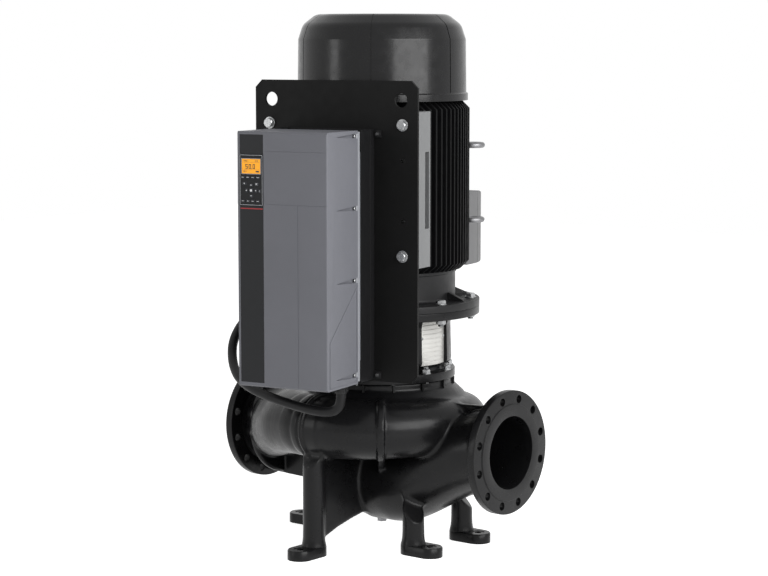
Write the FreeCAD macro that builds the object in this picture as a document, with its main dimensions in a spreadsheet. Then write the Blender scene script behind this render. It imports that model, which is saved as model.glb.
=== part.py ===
"""In-line centrifugal pump with a vertical flanged motor and a frequency converter on its feet.

Units are millimetres. The origin is on the floor, on the shaft axis. +X runs along the ports to the
suction flange, +Z is up, and the converter faces -Y, turned by head_turn about the shaft.
"""
import FreeCAD, Part

import math
import os

import Sketcher

Vector = FreeCAD.Vector
Rotation = FreeCAD.Rotation
Placement = FreeCAD.Placement

DRIVING_SIZES = {
    # Ports and casing
    "port_height": 295, "port_span": 900, "port_bore": 200, "casing_wall": 13,
    "flange_diameter": 340, "flange_pitch": 295, "flange_holes": 12, "flange_hole": 23,
    "discharge_hole": 23.4, "flange_thickness": 26, "raised_face": 268, "raised_face_height": 3,
    "bowl_drop": 119, "bowl_radius": 105, "eye_radius": 92,
    "scroll_height": 55, "scroll_base": 190, "scroll_start": 20, "scroll_throat": 74,
    "chamber_radius": 188, "outlet_half": 29, "neck_height": 173.5, "neck_radius": 199.5,
    "neck_bore": 175, "shoulder_radius": 208, "neck_ribs": 15,
    "stud_circle": 384, "stud_count": 12, "stud_turn": 18, "stud_size": 14,
    # Feet
    "leg_radius": 30, "pad_radius": 35, "pad_height": 28, "pad_reach": 58, "foot_hole": 19,
    "front_foot": 300, "side_foot_x": 200, "side_foot_y": 112, "left_foot": 246,
    "web_thickness": 22, "collar_radius": 150, "collar_thickness": 16,
    # Hydraulic parts
    "impeller_radius": 168, "impeller_outlet": 40, "shroud": 6, "eye_inner": 78, "eye_outer": 86,
    "wear_gap": 0.3, "hub_radius": 38, "blade_count": 6, "blade_thickness": 7,
    "head_flange": 8, "head_floor": 16, "seal_bore": 32, "pump_shaft_radius": 22,
    # Stool and coupling
    "stool_height": 201, "stool_base_radius": 206.5, "stool_base_thickness": 23,
    "stool_wall_radius": 195, "stool_wall": 16, "stool_flange": 22, "stool_waist": 20,
    "window_width": 117, "window_height": 128, "guard_sheet": 2, "louvre_pitch": 24,
    "coupling_radius": 56, "coupling_height": 136, "coupling_split": 1.2, "coupling_bolt": 12,
    "running_gap": 0.3,
    # Motor
    "head_turn": 11.25, "motor_flange": 550, "motor_flange_pitch": 500, "motor_flange_bolts": 8,
    "motor_flange_hole": 18.5, "motor_flange_thickness": 20, "spigot_radius": 225, "spigot_height": 4.5,
    "shield_height": 104.5, "shield_radius": 206.5, "shield_wall": 11,
    "frame_length": 469, "frame_radius": 200, "frame_wall": 13, "fin_radius": 245, "fin_pitch": 17.5,
    "fin_thickness": 4.5, "fins_across": 19, "fins_behind": 11, "fin_chamfer": 22,
    "shaft_reach": 140, "flange_bolt": 16, "air_gap": 1, "core_length": 240, "core_bore": 118,
    "motor_shaft_radius": 32.5,
    "foot_spread": 406, "foot_pitch": 349, "foot_height": 250, "foot_offset": 62,
    "foot_block_width": 76, "foot_block_depth": 70,
    "cover_height": 237, "cover_radius": 240, "cover_top_radius": 233.5, "cover_round": 34,
    "cover_dome": 69, "cover_dome_width": 50,
    "cover_sheet": 3, "cover_slots": 24, "fan_radius": 205, "fan_blades": 9,
    "bearing_radius": 80, "bearing_bore": 37.5, "bearing_width": 37, "ball_count": 8, "ball_radius": 12.5,
    "track_gap": 0.05,
    "box_width": 250, "box_length": 214, "box_depth": 72, "box_lid": 30, "box_face": 298, "box_drop": 18,
    "eyebolt_radius": 27, "eyebolt_bar": 8, "eyebolt_low": 127, "eyebolt_high": 339,
    # Mounting plate and converter
    "plate_width": 495, "plate_height": 807, "plate_bottom": 495, "plate_thickness": 8,
    "plate_gap": 15, "plate_corner": 20, "lifting_hole": 38, "lifting_spread": 396, "lifting_drop": 52,
    "plate_bolt": 16,
    "converter_left": 150, "converter_width": 269, "converter_bottom": 501, "converter_height": 672,
    "channel_depth": 75, "base_depth": 20, "converter_cover_depth": 167, "converter_wall": 13,
    "channel_sheet": 2.5, "fin_spacing": 13, "channel_inset": 1,
    "strip_width": 71, "strip_inset": 8, "strip_depth": 3, "strip_edge": 11,
    "keypad_height": 134, "keypad_top": 60, "keypad_depth": 9, "keypad_proud": 2, "display_width": 56,
    "display_height": 38, "window_sheet": 2, "key_rise": 1.6, "key_sink": 2.4, "key_travel": 1.0,
    "key_gap": 0.35,
    # Cable
    "cable_diameter": 26, "gland_radius": 22, "gland_height": 24, "gland_x": 85, "gland_front": 32,
    "box_gland_x": -70, "box_gland_in": 47,
}

KEYS = {
    # name: (from the strip's left edge, up from the keypad's foot, width, height)
    "key_status": (11, 74, 11, 6), "key_quick_menu": (26, 74, 11, 6),
    "key_main_menu": (41, 74, 11, 6), "key_alarm_log": (57, 74, 11, 6),
    "key_back": (15.5, 58, 12, 8), "key_cancel": (52.5, 57, 12, 8), "key_info": (62, 39, 9, 9),
    "key_up": (36, 54, 11, 7), "key_down": (36, 26, 11, 7),
    "key_left": (22, 40, 7, 11), "key_right": (50, 40, 7, 11), "key_ok": (36, 40, 12, 12),
    "key_hand_on": (11, 12, 11, 7), "key_off": (26, 12, 11, 7),
    "key_auto_on": (41, 12, 11, 7), "key_reset": (56, 12, 11, 7),
}

WINDOW_LOW = 512
WINDOW_ANGLE = 34
GUARD_SEAT = 5
LOUVRES = 4
VENT_ANGLE = 33
VENT_RADIUS = 7
VENT_RISE = 7.6
COUPLING_BOLT_X = 43
COUPLING_BOLT_SEAT = 28
COUPLING_BOLT_ROWS = (0.12, 0.36, 0.64, 0.88)
EYEBOLT_SEAT = 232
GLAND_THREAD = 15
NOTCH_HEIGHTS = (1159, 969, 778, 525)
NOTCH_DEPTH = 6

# Route of the motor cable between its two glands, in the motor's own axes, each point on the
# cable's middle line. The first and last points stand straight out of the glands.
CABLE_ROUTE = [
    (85, -400, 477), (85, -400, 451), (70, -400, 430), (43, -400, 422), (0, -399, 424),
    (-60, -397, 433), (-130, -390, 446), (-205, -372, 462), (-272, -338, 484), (-324, -284, 522),
    (-350, -236, 575), (-350, -160, 630), (-338, -60, 652), (-322, 45, 655), (-298, 140, 650),
    (-262, 225, 645), (-212, 296, 645), (-150, 338, 653), (-95, 345, 676), (-70, 345, 706),
    (-70, 345, 732),
]

document = FreeCAD.newDocument("inline_pump")
sheet = document.addObject("Spreadsheet::Sheet", "sizes")


class Size:
    """A number together with its formula in the sheet."""

    def __init__(self, value, formula=None):
        self.value = float(value)
        self.bound = formula is not None
        self.formula = formula if self.bound else repr(float(value))

    def combine(self, other, sign, value):
        if not (self.bound or other.bound):
            return Size(value)
        return Size(value, "(%s %s %s)" % (self.formula, sign, other.formula))

    def __add__(self, other):
        other = size(other)
        return self.combine(other, "+", self.value + other.value)

    def __sub__(self, other):
        other = size(other)
        return self.combine(other, "-", self.value - other.value)

    def __mul__(self, other):
        other = size(other)
        return self.combine(other, "*", self.value * other.value)

    def __truediv__(self, other):
        other = size(other)
        return self.combine(other, "/", self.value / other.value)

    def __radd__(self, other):
        return size(other) + self

    def __rsub__(self, other):
        return size(other) - self

    def __rmul__(self, other):
        return size(other) * self

    def __neg__(self):
        return size(0) - self


def size(amount):
    return amount if isinstance(amount, Size) else Size(amount)


def fill_sheet():
    """Write the driving sizes to the sheet and return them as Size values by name."""
    sizes = {}
    for row, (name, value) in enumerate(DRIVING_SIZES.items(), start=1):
        sheet.set("A%d" % row, name)
        sheet.set("B%d" % row, str(value))
        sheet.setAlias("B%d" % row, name)
        sizes[name] = Size(value, "sizes." + name)
    document.recompute()
    return sizes


class Named:
    """The driving sizes as attributes."""

    def __init__(self, sizes):
        self.__dict__.update(sizes)


D = Named(fill_sheet())

ALONG = {
    "X": Rotation(Vector(0, 1, 0), 90),
    "-X": Rotation(Vector(0, 1, 0), -90),
    "Y": Rotation(Vector(1, 0, 0), -90),
    "-Y": Rotation(Vector(1, 0, 0), 90),
    "Z": Rotation(),
    "-Z": Rotation(Vector(1, 0, 0), 180),
}


def bind(thing, path, amount):
    """Tie a property to its formula, or set the plain number."""
    amount = size(amount)
    if amount.bound:
        thing.setExpression(path, amount.formula)
    else:
        setattr(thing, path, amount.value)


def origin_part(body, role):
    return next(item for item in body.Origin.OriginFeatures if item.Role == role)


def new_body(label, in_head=False):
    """Start a sub-part. One in the head is turned with the motor about the shaft."""
    body = document.addObject("PartDesign::Body", label)
    body.Label = label
    body.AllowCompound = True
    if in_head:
        turn(body, D.head_turn)
    return body


def turn(body, angle):
    body.Placement = Placement(Vector(), Rotation(Vector(0, 0, 1), size(angle).value))
    bind_turn(body, "Placement", angle)


def bind_turn(thing, path, angle):
    angle = size(angle)
    if angle.bound:
        thing.setExpression(path + ".Rotation.Angle", angle.formula)


def attach(body, feature, at, rotation, plane="XY_Plane"):
    """Hang a feature on one of the body's own planes, with a bound offset."""
    feature.AttachmentSupport = [(origin_part(body, plane), "")]
    feature.MapMode = "FlatFace"
    at = [size(amount) for amount in at]
    feature.AttachmentOffset = Placement(Vector(*[amount.value for amount in at]), rotation)
    for axis, amount in zip("xyz", at):
        if amount.bound:
            feature.setExpression("AttachmentOffset.Base." + axis, amount.formula)
    return feature


def primitive(body, kind, cut, at, rotation, **sizes):
    prefix = "PartDesign::Subtractive" if cut else "PartDesign::Additive"
    feature = body.newObject(prefix + kind, body.Label + "_" + kind.lower())
    feature.Refine = False
    for name, amount in sizes.items():
        bind(feature, name, amount)
    return attach(body, feature, at, rotation)


def cylinder(body, radius, height, at=(0, 0, 0), along="Z", cut=False):
    return primitive(body, "Cylinder", cut, at, ALONG[along], Radius=radius, Height=height)


def cone(body, low, high, height, at=(0, 0, 0), along="Z", cut=False):
    return primitive(body, "Cone", cut, at, ALONG[along], Radius1=low, Radius2=high, Height=height)


def ball(body, radius, at=(0, 0, 0), cut=False):
    return primitive(body, "Sphere", cut, at, Rotation(), Radius=radius)


def torus(body, ring, bar, at=(0, 0, 0), along="Z", cut=False):
    return primitive(body, "Torus", cut, at, ALONG[along], Radius1=ring, Radius2=bar)


def prism(body, circumradius, height, at=(0, 0, 0), along="Z", sides=6, cut=False):
    feature = primitive(body, "Prism", cut, at, ALONG[along], Circumradius=circumradius, Height=height)
    feature.Polygon = sides
    return feature


def block(body, low, extent, cut=False):
    """A box from its low corner."""
    return primitive(body, "Box", cut, low, Rotation(), Length=extent[0], Width=extent[1], Height=extent[2])


def turned_block(body, low, extent, angle, cut=False):
    """A box from its low corner, then turned about the shaft axis."""
    angle = math.radians(angle)
    x, y, z = (size(amount) for amount in low)
    corner = (x * math.cos(angle) - y * math.sin(angle), x * math.sin(angle) + y * math.cos(angle), z)
    rotation = Rotation(Vector(0, 0, 1), math.degrees(angle))
    return primitive(body, "Box", cut, corner, rotation,
                     Length=extent[0], Width=extent[1], Height=extent[2])


def outline_sketch(body, outline, plane="XZ_Plane", offset=0, name="outline"):
    """A closed sketch whose corners are all tied to formulas."""
    sketch = body.newObject("Sketcher::SketchObject", body.Label + "_" + name)
    attach(body, sketch, (0, 0, offset), Rotation(), plane)
    corners = [(size(x), size(y)) for x, y in outline]
    for start, end in zip(corners, corners[1:] + corners[:1]):
        sketch.addGeometry(Part.LineSegment(Vector(start[0].value, start[1].value, 0),
                                            Vector(end[0].value, end[1].value, 0)), False)
    count = len(corners)
    for index in range(count):
        sketch.addConstraint(Sketcher.Constraint("Coincident", index, 2, (index + 1) % count, 1))
    for index, corner in enumerate(corners):
        for kind, amount in zip(("DistanceX", "DistanceY"), corner):
            place = sketch.addConstraint(Sketcher.Constraint(kind, -1, 1, index, 1, amount.value))
            if amount.bound:
                sketch.setExpression("Constraints[%d]" % place, amount.formula)
    return sketch


def circle_sketch(body, centre, radius, place, rotation, name="section"):
    """A circle in an upright plane. place is in that plane's own axes: X, Z and -Y."""
    sketch = body.newObject("Sketcher::SketchObject", body.Label + "_" + name)
    attach(body, sketch, place, rotation, "XZ_Plane")
    centre = [size(amount) for amount in centre]
    radius = size(radius)
    middle = Vector(centre[0].value, centre[1].value, 0)
    sketch.addGeometry(Part.Circle(middle, Vector(0, 0, 1), radius.value), False)
    for kind, amount in zip(("DistanceX", "DistanceY"), centre):
        index = sketch.addConstraint(Sketcher.Constraint(kind, -1, 1, 0, 3, amount.value))
        if amount.bound:
            sketch.setExpression("Constraints[%d]" % index, amount.formula)
    index = sketch.addConstraint(Sketcher.Constraint("Radius", 0, radius.value))
    if radius.bound:
        sketch.setExpression("Constraints[%d]" % index, radius.formula)
    return sketch


def lathe(body, outline, cut=False, name="profile"):
    """Revolve an outline of (radius, height) corners about the body's Z axis."""
    sketch = outline_sketch(body, outline, name=name)
    kind = "PartDesign::Groove" if cut else "PartDesign::Revolution"
    feature = body.newObject(kind, body.Label + "_turned")
    feature.Profile = sketch
    feature.ReferenceAxis = (sketch, ["V_Axis"])
    feature.Refine = False
    feature.Angle = 360
    sketch.Visibility = False
    return feature


def extrude(body, outline, length, plane="XY_Plane", offset=0, cut=False, middle=False, back=False):
    sketch = outline_sketch(body, outline, plane, offset, "face")
    feature = body.newObject("PartDesign::Pocket" if cut else "PartDesign::Pad", body.Label + "_extrude")
    feature.Profile = sketch
    feature.Refine = False
    bind(feature, "Length", length)
    feature.Midplane = middle
    feature.Reversed = back != cut
    return feature


def loft(body, sections, cut=False):
    feature = body.newObject("PartDesign::SubtractiveLoft" if cut else "PartDesign::AdditiveLoft",
                             body.Label + "_loft")
    feature.Profile = sections[0]
    feature.Sections = sections[1:]
    feature.Ruled = False
    return feature


def ring_pattern(body, originals, count, axis="Z_Axis"):
    feature = body.newObject("PartDesign::PolarPattern", body.Label + "_ring")
    feature.Originals = originals
    feature.Refine = False
    feature.Axis = (origin_part(body, axis), [""])
    feature.Angle = 360
    bind_count(feature, count)
    body.Tip = feature
    return feature


def row_pattern(body, originals, axis, length, count):
    feature = body.newObject("PartDesign::LinearPattern", body.Label + "_row")
    feature.Originals = originals
    feature.Refine = False
    feature.Direction = (origin_part(body, axis), [""])
    bind(feature, "Length", length)
    bind_count(feature, count)
    body.Tip = feature
    return feature


def bind_count(feature, count):
    count = size(count)
    if count.bound:
        feature.setExpression("Occurrences", count.formula)
    else:
        feature.Occurrences = int(count.value)


def soften(body, radius, picks, chamfer=False):
    """Round or chamfer the edges of the latest feature that a test picks."""
    document.recompute()
    base = body.Tip
    names = ["Edge%d" % number for number, edge in enumerate(base.Shape.Edges, start=1) if picks(edge)]
    kind = "PartDesign::Chamfer" if chamfer else "PartDesign::Fillet"
    feature = body.newObject(kind, body.Label + ("_chamfer" if chamfer else "_fillet"))
    feature.Base = (base, names)
    bind(feature, "Size" if chamfer else "Radius", radius)
    return feature


def rim_at(height, radius=None):
    """A test for the round edge at one height, and of one radius where that is given."""
    def picks(edge):
        box = edge.BoundBox
        if box.ZLength > 0.01 or abs(box.ZMin - size(height).value) > 0.01:
            return False
        return radius is None or abs(box.XMax - size(radius).value) < 0.01
    return picks


# Heights that follow from the driving sizes
BOWL_AXIS = D.port_height - D.bowl_drop
SCROLL_AXIS = D.port_height + D.scroll_height
NECK_TOP = D.port_height + D.neck_height
STOOL_TOP = NECK_TOP + D.stool_height
FRAME_LOW = STOOL_TOP + D.shield_height
FRAME_TOP = FRAME_LOW + D.frame_length
COVER_TOP = FRAME_TOP + D.cover_height
PORT_FACE = D.port_span / 2
STUD_RADIUS = D.stud_size / 2
WEAR_LOW = SCROLL_AXIS - 84


PLATE_BACK = D.foot_height + D.plate_gap
PLATE_FRONT = PLATE_BACK + D.plate_thickness
CHANNEL_FRONT = PLATE_FRONT + D.channel_depth
BASE_FRONT = CHANNEL_FRONT + D.base_depth
CONVERTER_FRONT = BASE_FRONT + D.converter_cover_depth
GLAND_Y = BASE_FRONT + D.gland_front
KEYPAD_FRONT = CONVERTER_FRONT + D.keypad_proud
STRIP_LEFT = D.strip_inset - D.converter_left
CONVERTER_TOP = D.converter_bottom + D.converter_height
STRIP_TOP = CONVERTER_TOP - D.strip_inset
STRIP_LOW = D.converter_bottom + D.strip_edge
KEYPAD_TOP = CONVERTER_TOP - D.keypad_top
KEYPAD_LOW = KEYPAD_TOP - D.keypad_height
SHAFT_END = STOOL_TOP - D.shaft_reach
COUPLING_LOW = SHAFT_END - D.coupling_height / 2
CORE_LOW = FRAME_LOW + D.frame_length / 2 - D.core_length / 2
CORE_TOP = CORE_LOW + D.core_length
BEARING_LOW = STOOL_TOP + 36
BEARING_HIGH = FRAME_TOP - 24
BOX_LOW = FRAME_LOW - D.box_drop
BOX_FACE = D.box_face
HEAD_SEAT = NECK_TOP - D.head_flange


def smooth_step(share):
    """From 1 at the start to 0 at the end, level at both."""
    share = min(max(share, 0.0), 1.0)
    return (1 + math.cos(math.pi * share)) / 2


def joined(label, parts, in_head=False):
    return combined("Part::MultiFuse", label, in_head, Shapes=parts)


def carved(label, base, tool, in_head=False):
    return combined("Part::Cut", label, in_head, Base=base, Tool=tool)


def shared(label, base, tool, in_head=False):
    return combined("Part::Common", label, in_head, Base=base, Tool=tool)


def combined(kind, label, in_head, **operands):
    result = document.addObject(kind, label)
    result.Label = label
    result.Refine = False
    for name, operand in operands.items():
        setattr(result, name, operand)
    if in_head:
        turn(result, D.head_turn)
    return result


def sector(body, outline, angle, cut=False, name="sector"):
    """Revolve an outline over part of a turn, evenly either side of the XZ plane."""
    feature = lathe(body, outline, cut, name)
    feature.Angle = angle
    feature.Midplane = True
    return feature


def suction_sections(body, wall):
    """Circles from the suction flange to under the impeller's eye."""
    reach = PORT_FACE - D.flange_thickness
    sections = []
    for share in (0.0, 0.14, 0.28, 0.45, 0.63, 0.82, 1.0):
        drop = 1 - smooth_step((share - 0.05) / 0.80)
        narrow = 1 - smooth_step((share - 0.45) / 0.55)
        radius = D.port_bore / 2 + (D.bowl_radius - D.port_bore / 2) * narrow + wall
        if 0 < share < 1:
            radius = radius + 6 * math.sin(math.pi * share)
        place = (reach * (1 - share), D.port_height - D.bowl_drop * drop, 0)
        sections.append(circle_sketch(body, (0, 0), radius, place, Rotation(Vector(0, 1, 0), 90)))
    return sections


SCROLL_FROM = 150
SCROLL_TO = -108
SCROLL_STEP = 21.5


def scroll_radius(angle):
    """Radius of the flow section, whose area grows evenly along the scroll."""
    share = (SCROLL_FROM - angle) / (SCROLL_FROM - SCROLL_TO)
    start = D.scroll_start.value
    throat = D.scroll_throat.value
    radius = math.sqrt(start ** 2 + (throat ** 2 - start ** 2) * share)
    weight = (radius - start) / (throat - start)
    return D.scroll_start + (D.scroll_throat - D.scroll_start) * weight


def scroll_sections(body, wall):
    """Circles round the impeller, then through the discharge bend to the left flange."""
    sections = []
    for step in range(round((SCROLL_FROM - SCROLL_TO) / SCROLL_STEP) + 1):
        angle = SCROLL_FROM - SCROLL_STEP * step
        radius = scroll_radius(angle)
        centre = (D.scroll_base + radius * 0.8, SCROLL_AXIS)
        sections.append(circle_sketch(body, centre, radius + wall, (0, 0, 0),
                                      Rotation(Vector(0, 1, 0), angle)))
    throat_out = D.scroll_base + D.scroll_throat * 0.8
    start_x = throat_out * math.cos(math.radians(SCROLL_TO))
    start_y = throat_out * math.sin(math.radians(SCROLL_TO))
    bore = D.port_bore / 2
    end_x = -(PORT_FACE - D.flange_thickness)
    # share of the way to the port in x, in y, in height and in radius, and the section's turn
    bend = ((0.26, 0.20, 0.14, 0.22, -117), (0.52, 0.50, 0.48, 0.50, -122), (0.78, 0.84, 0.84, 0.80, -111),
            (1.0, 1.0, 1.0, 1.0, -90))
    for along, across, down, widen, angle in bend:
        x = start_x + (end_x - start_x) * along
        y = start_y * (1 - across)
        z = SCROLL_AXIS - D.scroll_height * down
        radius = D.scroll_throat + (bore - D.scroll_throat) * widen
        sections.append(circle_sketch(body, (0, 0), radius + wall, (x, z, -y),
                                      Rotation(Vector(0, 1, 0), angle)))
    return sections


def port_flange(side):
    """A drilled port flange: side is 1 for suction and -1 for discharge."""
    body = new_body("suction_flange" if side > 0 else "discharge_flange")
    face = PORT_FACE - D.raised_face_height
    back = PORT_FACE - D.flange_thickness
    hub = D.port_bore / 2 + D.casing_wall
    lathe(body, [(0, back - 24), (hub - 20, back - 24), (hub + 16, back), (D.flange_diameter / 2, back),
                 (D.flange_diameter / 2, face), (D.raised_face / 2, face), (D.raised_face / 2, PORT_FACE),
                 (0, PORT_FACE)])
    half_step = math.radians(180 / D.flange_holes.value)
    at = (D.flange_pitch / 2 * math.cos(half_step), D.flange_pitch / 2 * math.sin(half_step), back - 1)
    bolt_hole = D.flange_hole if side > 0 else D.discharge_hole
    hole = cylinder(body, bolt_hole / 2, D.flange_thickness + 2, at, cut=True)
    ring_pattern(body, [hole], D.flange_holes)
    body.Placement = Placement(Vector(0, 0, D.port_height.value), ALONG["X" if side > 0 else "-X"])
    body.setExpression("Placement.Base.z", D.port_height.formula)
    return body


def foot(x, y, angle, top):
    """A leg on a long pad that points outwards at an angle."""
    body = new_body("foot")
    out = (math.cos(math.radians(angle)), math.sin(math.radians(angle)))
    rotation = Rotation(Vector(0, 0, 1), angle)
    end = (x + D.pad_reach * out[0], y + D.pad_reach * out[1])
    cylinder(body, D.leg_radius, top, (x, y, 0))
    cone(body, D.pad_radius, D.leg_radius, 30, (x, y, D.pad_height))
    cylinder(body, D.pad_radius, D.pad_height, (x, y, 0))
    cylinder(body, D.pad_radius, D.pad_height, (end[0], end[1], 0))
    corner = (x + D.pad_radius * out[1], y - D.pad_radius * out[0], 0)
    primitive(body, "Box", False, corner, rotation,
              Length=D.pad_reach, Width=D.pad_radius * 2, Height=D.pad_height)
    cylinder(body, D.foot_hole / 2, D.pad_height + 2, (end[0], end[1], -1), cut=True)
    return body


def make_feet():
    """Four feet, and the webs that carry the front and the left one."""
    webs = new_body("webs")
    extrude(webs, [(-D.front_foot, 30), (-D.front_foot + 40, 42), (-D.front_foot + 90, 60),
                   (-D.front_foot + 150, 74), (-60, 92), (-60, BOWL_AXIS + 60),
                   (-D.front_foot, D.port_height - 20)],
            D.web_thickness, plane="YZ_Plane", middle=True)
    back = PORT_FACE - D.flange_thickness
    extrude(webs, [(-back - 2, D.port_height - 154), (-D.left_foot - 20, D.port_height - 161),
                   (-D.left_foot, 60), (-D.left_foot + 60, 84), (-60, 110), (-60, D.port_height - 30),
                   (-back - 2, D.port_height - 60)],
            D.web_thickness, plane="XZ_Plane", middle=True)
    extrude(webs, [(D.scroll_base + 45, D.port_height + 5), (back + 2, D.port_height + 5),
                   (back + 2, SCROLL_AXIS + 68), (D.scroll_base + 45, SCROLL_AXIS + 61)],
            D.web_thickness, plane="XZ_Plane", middle=True)
    return [foot(size(0), -D.front_foot, -90, D.port_height + 12),
            foot(D.side_foot_x, -D.side_foot_y, 0, BOWL_AXIS - 10),
            foot(D.side_foot_x, D.side_foot_y, 0, BOWL_AXIS - 10),
            foot(-D.left_foot, size(0), 180, D.port_height - 40), webs]


# Raised bands round the scroll: azimuth in degrees, height above the wall and width
BANDS = ((-52, 8, 20), (-93, 10, 10), (-97.5, 5, 22))
COLLAR_FROM_FLANGE = 50


def casing_band(angle, proud, width):
    """A raised band round the scroll at one azimuth."""
    body = new_body("band")
    radius = scroll_radius(angle)
    out = D.scroll_base + radius * 0.8
    sine = math.sin(math.radians(angle))
    cosine = math.cos(math.radians(angle))
    at = (out * cosine - width / 2 * sine, out * sine + width / 2 * cosine, SCROLL_AXIS)
    rotation = Rotation(Vector(0, 0, 1), angle).multiply(ALONG["-Y"])
    primitive(body, "Cylinder", False, at, rotation, Radius=radius + D.casing_wall + proud, Height=width)
    return body


def bowl_fin():
    """The rib that carries the widest band on from the scroll's underside down to the bowl."""
    angle, _, width = BANDS[0]
    body = new_body("bowl_fin")
    bowl = D.bowl_radius + D.casing_wall
    extrude(body, [(60, BOWL_AXIS + 8), (bowl + 7, BOWL_AXIS + 8), (bowl + 30, BOWL_AXIS + 46),
                   (D.scroll_base + 12, SCROLL_AXIS - 86), (D.scroll_base + 45, SCROLL_AXIS - 50),
                   (60, SCROLL_AXIS - 50)], width, plane="XZ_Plane", middle=True)
    turn(body, angle)
    return body


def discharge_collar():
    """The thick collar round the discharge neck."""
    body = new_body("discharge_collar")
    start = PORT_FACE - D.flange_thickness - COLLAR_FROM_FLANGE
    cylinder(body, D.collar_radius, D.collar_thickness, (-start, 0, D.port_height), "X")
    return body


def casing_core():
    """The turned middle of the casing: bowl, back of the scroll, neck, ribs and stud holes."""
    body = new_body("core")
    wall = D.casing_wall
    core = D.eye_radius + wall + 3
    lathe(body, [(0, BOWL_AXIS), (core, BOWL_AXIS), (core, SCROLL_AXIS - 100), (150, SCROLL_AXIS - 78),
                 (D.chamber_radius + wall, SCROLL_AXIS - 52),
                 (D.chamber_radius + wall + 32, SCROLL_AXIS - 20),
                 (D.chamber_radius + wall + 32, SCROLL_AXIS + 70), (D.shoulder_radius, NECK_TOP - 27),
                 (D.neck_radius, NECK_TOP - 22), (D.neck_radius, NECK_TOP), (0, NECK_TOP)])
    ball(body, D.bowl_radius + wall, (0, 0, BOWL_AXIS))
    cylinder(body, 16, 14, (0, 0, BOWL_AXIS - D.bowl_radius - wall - 4))
    rib = turned_block(body, (D.neck_radius - 6, -3, NECK_TOP - 24),
                       (D.shoulder_radius - D.neck_radius + 4, 6, 24), 9)
    ring_pattern(body, [rib], D.neck_ribs)
    angle = math.radians(D.stud_turn.value)
    x = D.stud_circle / 2 * math.cos(angle)
    y = D.stud_circle / 2 * math.sin(angle)
    hole = cylinder(body, STUD_RADIUS, 26, (x, y, NECK_TOP - 26), cut=True)
    ring_pattern(body, [hole], D.stud_count)
    return body


def casing_cavity():
    """All that is cut from the casing: waterways, chamber, seats and the drain's thread."""
    bowl = new_body("bowl_flow")
    loft(bowl, suction_sections(bowl, 0))
    ball(bowl, D.bowl_radius, (0, 0, BOWL_AXIS))
    scroll = new_body("scroll_flow")
    loft(scroll, scroll_sections(scroll, 0))
    chamber = new_body("chamber")
    half = D.outlet_half
    lathe(chamber, [(0, BOWL_AXIS), (D.eye_radius, BOWL_AXIS), (D.eye_radius, WEAR_LOW),
                    (D.eye_radius + 10, WEAR_LOW), (D.eye_radius + 10, WEAR_LOW + 24),
                    (D.chamber_radius - 12, SCROLL_AXIS - half - 8), (D.chamber_radius, SCROLL_AXIS - half),
                    (D.chamber_radius, SCROLL_AXIS + half), (D.neck_bore, SCROLL_AXIS + half + 13),
                    (D.neck_bore, HEAD_SEAT), (D.neck_bore + 8, HEAD_SEAT), (D.neck_bore + 8, NECK_TOP + 1),
                    (0, NECK_TOP + 1)])
    cylinder(chamber, 10, 40, (0, 0, BOWL_AXIS - D.bowl_radius - D.casing_wall - 10))
    bores = new_body("port_bores")
    for side, along in ((1, "X"), (-1, "-X")):
        start = (PORT_FACE - D.flange_thickness) * side
        cylinder(bores, D.port_bore / 2, D.flange_thickness + 2, (start, 0, D.port_height), along)
    return joined("waterways", [bowl, scroll, chamber, bores])


def make_casing():
    outside = new_body("bowl_outside")
    loft(outside, suction_sections(outside, D.casing_wall))
    scroll = new_body("scroll_outside")
    loft(scroll, scroll_sections(scroll, D.casing_wall))
    bands = [casing_band(angle, proud, width) for angle, proud, width in BANDS]
    solid = joined("casing_solid", [casing_core(), outside, scroll, port_flange(1), port_flange(-1),
                                    bowl_fin(), discharge_collar()] + make_feet() + bands)
    return carved("pump_casing", solid, casing_cavity())


def make_wear_ring():
    body = new_body("casing_wear_ring")
    inner = D.eye_outer + D.wear_gap
    lathe(body, [(inner, WEAR_LOW), (D.eye_radius + 10, WEAR_LOW), (D.eye_radius + 10, WEAR_LOW + 23),
                 (inner, WEAR_LOW + 23)])
    return body


def screw_head(body, distance, angle, z, radius, height=4):
    """A screw's head that points straight out from the shaft axis."""
    turned = math.radians(angle)
    return primitive(body, "Cylinder", False, (distance * math.cos(turned), distance * math.sin(turned), z),
                     Rotation(Vector(0, 0, 1), angle).multiply(ALONG["X"]), Radius=radius, Height=height)


def make_plugs():
    """The drain plug under the bowl and the air vent in the stool's foot."""
    body = new_body("casing_plugs")
    low = BOWL_AXIS - D.bowl_radius - D.casing_wall - 4
    cylinder(body, 10, 18, (0, 0, low))
    prism(body, 14, 9, (0, 0, low - 9))
    z = NECK_TOP + D.stool_base_thickness + VENT_RISE
    outside = D.stool_wall_radius - D.stool_waist
    screw_head(body, outside - 22, VENT_ANGLE, z, VENT_RADIUS - 2, 26)
    screw_head(body, outside + 0.2, VENT_ANGLE, z, VENT_RADIUS, 16)
    return body


def make_pump_head():
    """The cover in the casing's neck, with the seal chamber at its middle."""
    body = new_body("pump_head")
    low = SCROLL_AXIS + D.outlet_half + 13
    bore = D.neck_bore
    lathe(body, [(40, low), (bore, low), (bore, HEAD_SEAT), (bore + 8, HEAD_SEAT), (bore + 8, NECK_TOP),
                 (bore - 15, NECK_TOP), (bore - 17, low + D.head_floor + 10),
                 (bore - 30, low + D.head_floor),
                 (66, low + D.head_floor + 12), (60, low + 58), (26, low + 58), (26, low + 48),
                 (D.seal_bore, low + 48), (D.seal_bore, low + 32), (40, low + 32)])
    lathe(body, [(bore - 5, low + 44), (bore + 1, low + 44), (bore + 1, low + 50), (bore - 5, low + 50)],
          cut=True, name="groove")
    return body


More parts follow.
